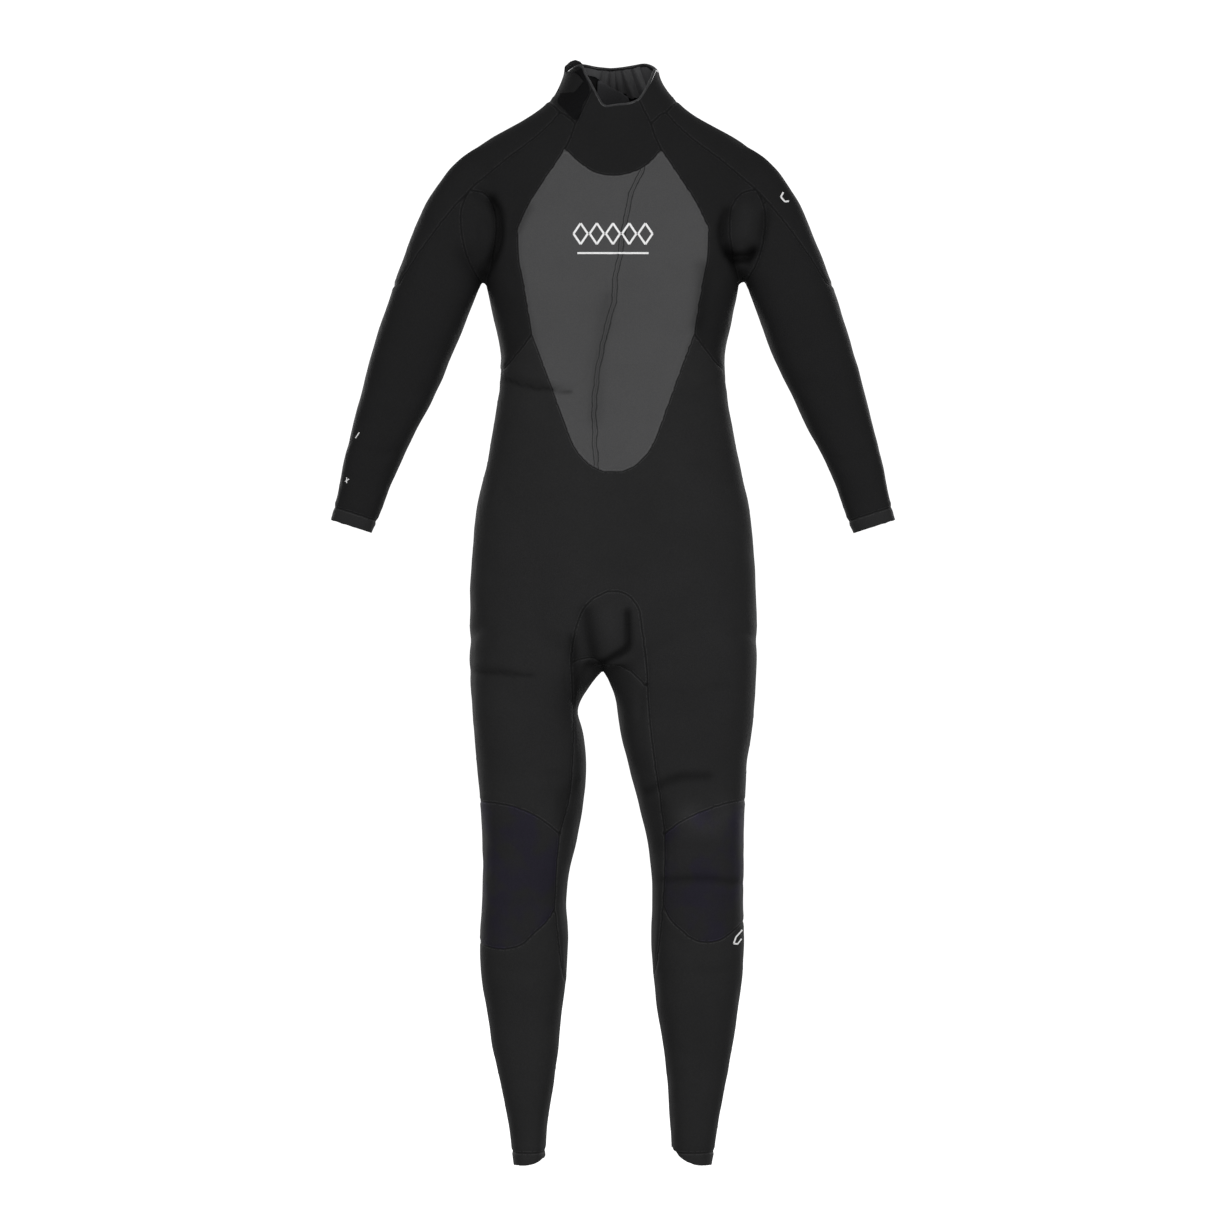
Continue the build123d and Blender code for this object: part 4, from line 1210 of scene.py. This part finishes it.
def lozenge_row(x0, x1, z, height, count, stroke):
    shapes = []
    pitch = (x1 - x0) / count
    for i in range(count):
        c = x0 + pitch * (i + 0.5)
        w, h = pitch * 0.44, height / 2
        shapes += band([(c - w, z), (c, z + h), (c + w, z), (c, z - h), (c - w, z)], stroke)
    return shapes


chest_marks = lozenge_row(-50, 50, -172, 26, 5, 2.6) + band([(-44, -196), (44, -196)], 2.4)
printed("chest_print", chest_marks, SUIT)
printed("shoulder_print", band([(212, -117), (209, -123), (214, -129), (219, -128)], 2.0), SUIT)
printed("upper_sleeve_print", band([(-321, -423), (-316, -416)], 1.2), ("right_forearm",))
printed("lower_sleeve_print", band([(-334, -477), (-329, -474)], 1.1) + band([(-332, -472), (-332, -479)],
                                                                             1.0),
        ("right_forearm",))
printed("calf_print", band([(161, -1036), (153, -1044), (150, -1052), (155, -1053), (160, -1047)], 1.9),
        ("left_shin",))

# ------------------------------------------------------------------ camera, light and floor
scene = bpy.context.scene
scene.view_settings.view_transform = "Standard"
camera_data = bpy.data.cameras.new("camera")
camera = bpy.data.objects.new("camera", camera_data)
scene.collection.objects.link(camera)
DISTANCE = 7.0
camera.location = (0.0, -DISTANCE, -0.641)
camera.rotation_euler = (math.pi / 2, 0, 0)
camera_data.sensor_width = 36.0
camera_data.lens = 36.0 * DISTANCE / 1.5325
scene.camera = camera

world = bpy.data.worlds.new("world")
world.use_nodes = True
world.node_tree.nodes["Background"].inputs["Color"].default_value = (1, 1, 1, 1)
world.node_tree.nodes["Background"].inputs["Strength"].default_value = 0.38
scene.world = world


def area_light(name, location, target, size, power):
    data = bpy.data.lights.new(name, "AREA")
    data.shape, data.size, data.size_y, data.energy = "RECTANGLE", size[0], size[1], power
    light = bpy.data.objects.new(name, data)
    light.location = location
    light.rotation_euler = (Vector(target) - Vector(location)).to_track_quat("-Z", "Y").to_euler()
    scene.collection.objects.link(light)
    return light


area_light("key", (-2.2, -3.4, -0.2), (0, 0, -0.72), (1.6, 2.6), 58)
area_light("fill", (2.4, -3.2, -0.4), (0, 0, -0.76), (1.6, 2.6), 62)
area_light("top", (0, -0.8, 2.4), (0, 0, -0.5), (1.6, 1.2), 10)
area_light("back_left", (-2.4, 3.0, 0.0), (0, 0, -0.66), (1.4, 2.2), 75)
area_light("back_right", (2.4, 3.0, 0.0), (0, 0, -0.66), (1.4, 2.2), 75)

floor_mat = bpy.data.materials.new("floor")
floor_mat.use_nodes = True
floor_shader = floor_mat.node_tree.nodes["Principled BSDF"]
floor_shader.inputs["Base Color"].default_value = (0.3, 0.3, 0.3, 1)
floor_shader.inputs["Roughness"].default_value = 0.9
floor_shader.inputs["Emission Color"].default_value = (1, 1, 1, 1)
floor_shader.inputs["Emission Strength"].default_value = 1.0

# Round studio sweep: a flat floor that curves up into a wall all the way round.
FLAT, BEND, FLOOR_Z = 14, 4, -1.352
profile = [(0.01, 0), (3, 0), (9, 0), (FLAT, 0)]
profile += [(FLAT + BEND * math.sin(a), BEND - BEND * math.cos(a)) for a in np.linspace(0.2, math.pi / 2, 8)]
profile.append((FLAT + BEND, 12))
around = 64
turns = [2 * math.pi * i / around for i in range(around)]
points = [(r * math.cos(a), r * math.sin(a), z + FLOOR_Z) for r, z in profile for a in turns]
faces = [(k * around + i, k * around + (i + 1) % around, (k + 1) * around + (i + 1) % around,
          (k + 1) * around + i)
         for k in range(len(profile) - 1) for i in range(around)]
faces.append(tuple(range(around))[::-1])
floor = to_object("studio_sweep", np.array(points) / MM, [f[::-1] for f in faces], smooth=True)
floor.data.materials.append(floor_mat)
floor.visible_glossy = floor.visible_diffuse = floor.visible_shadow = False
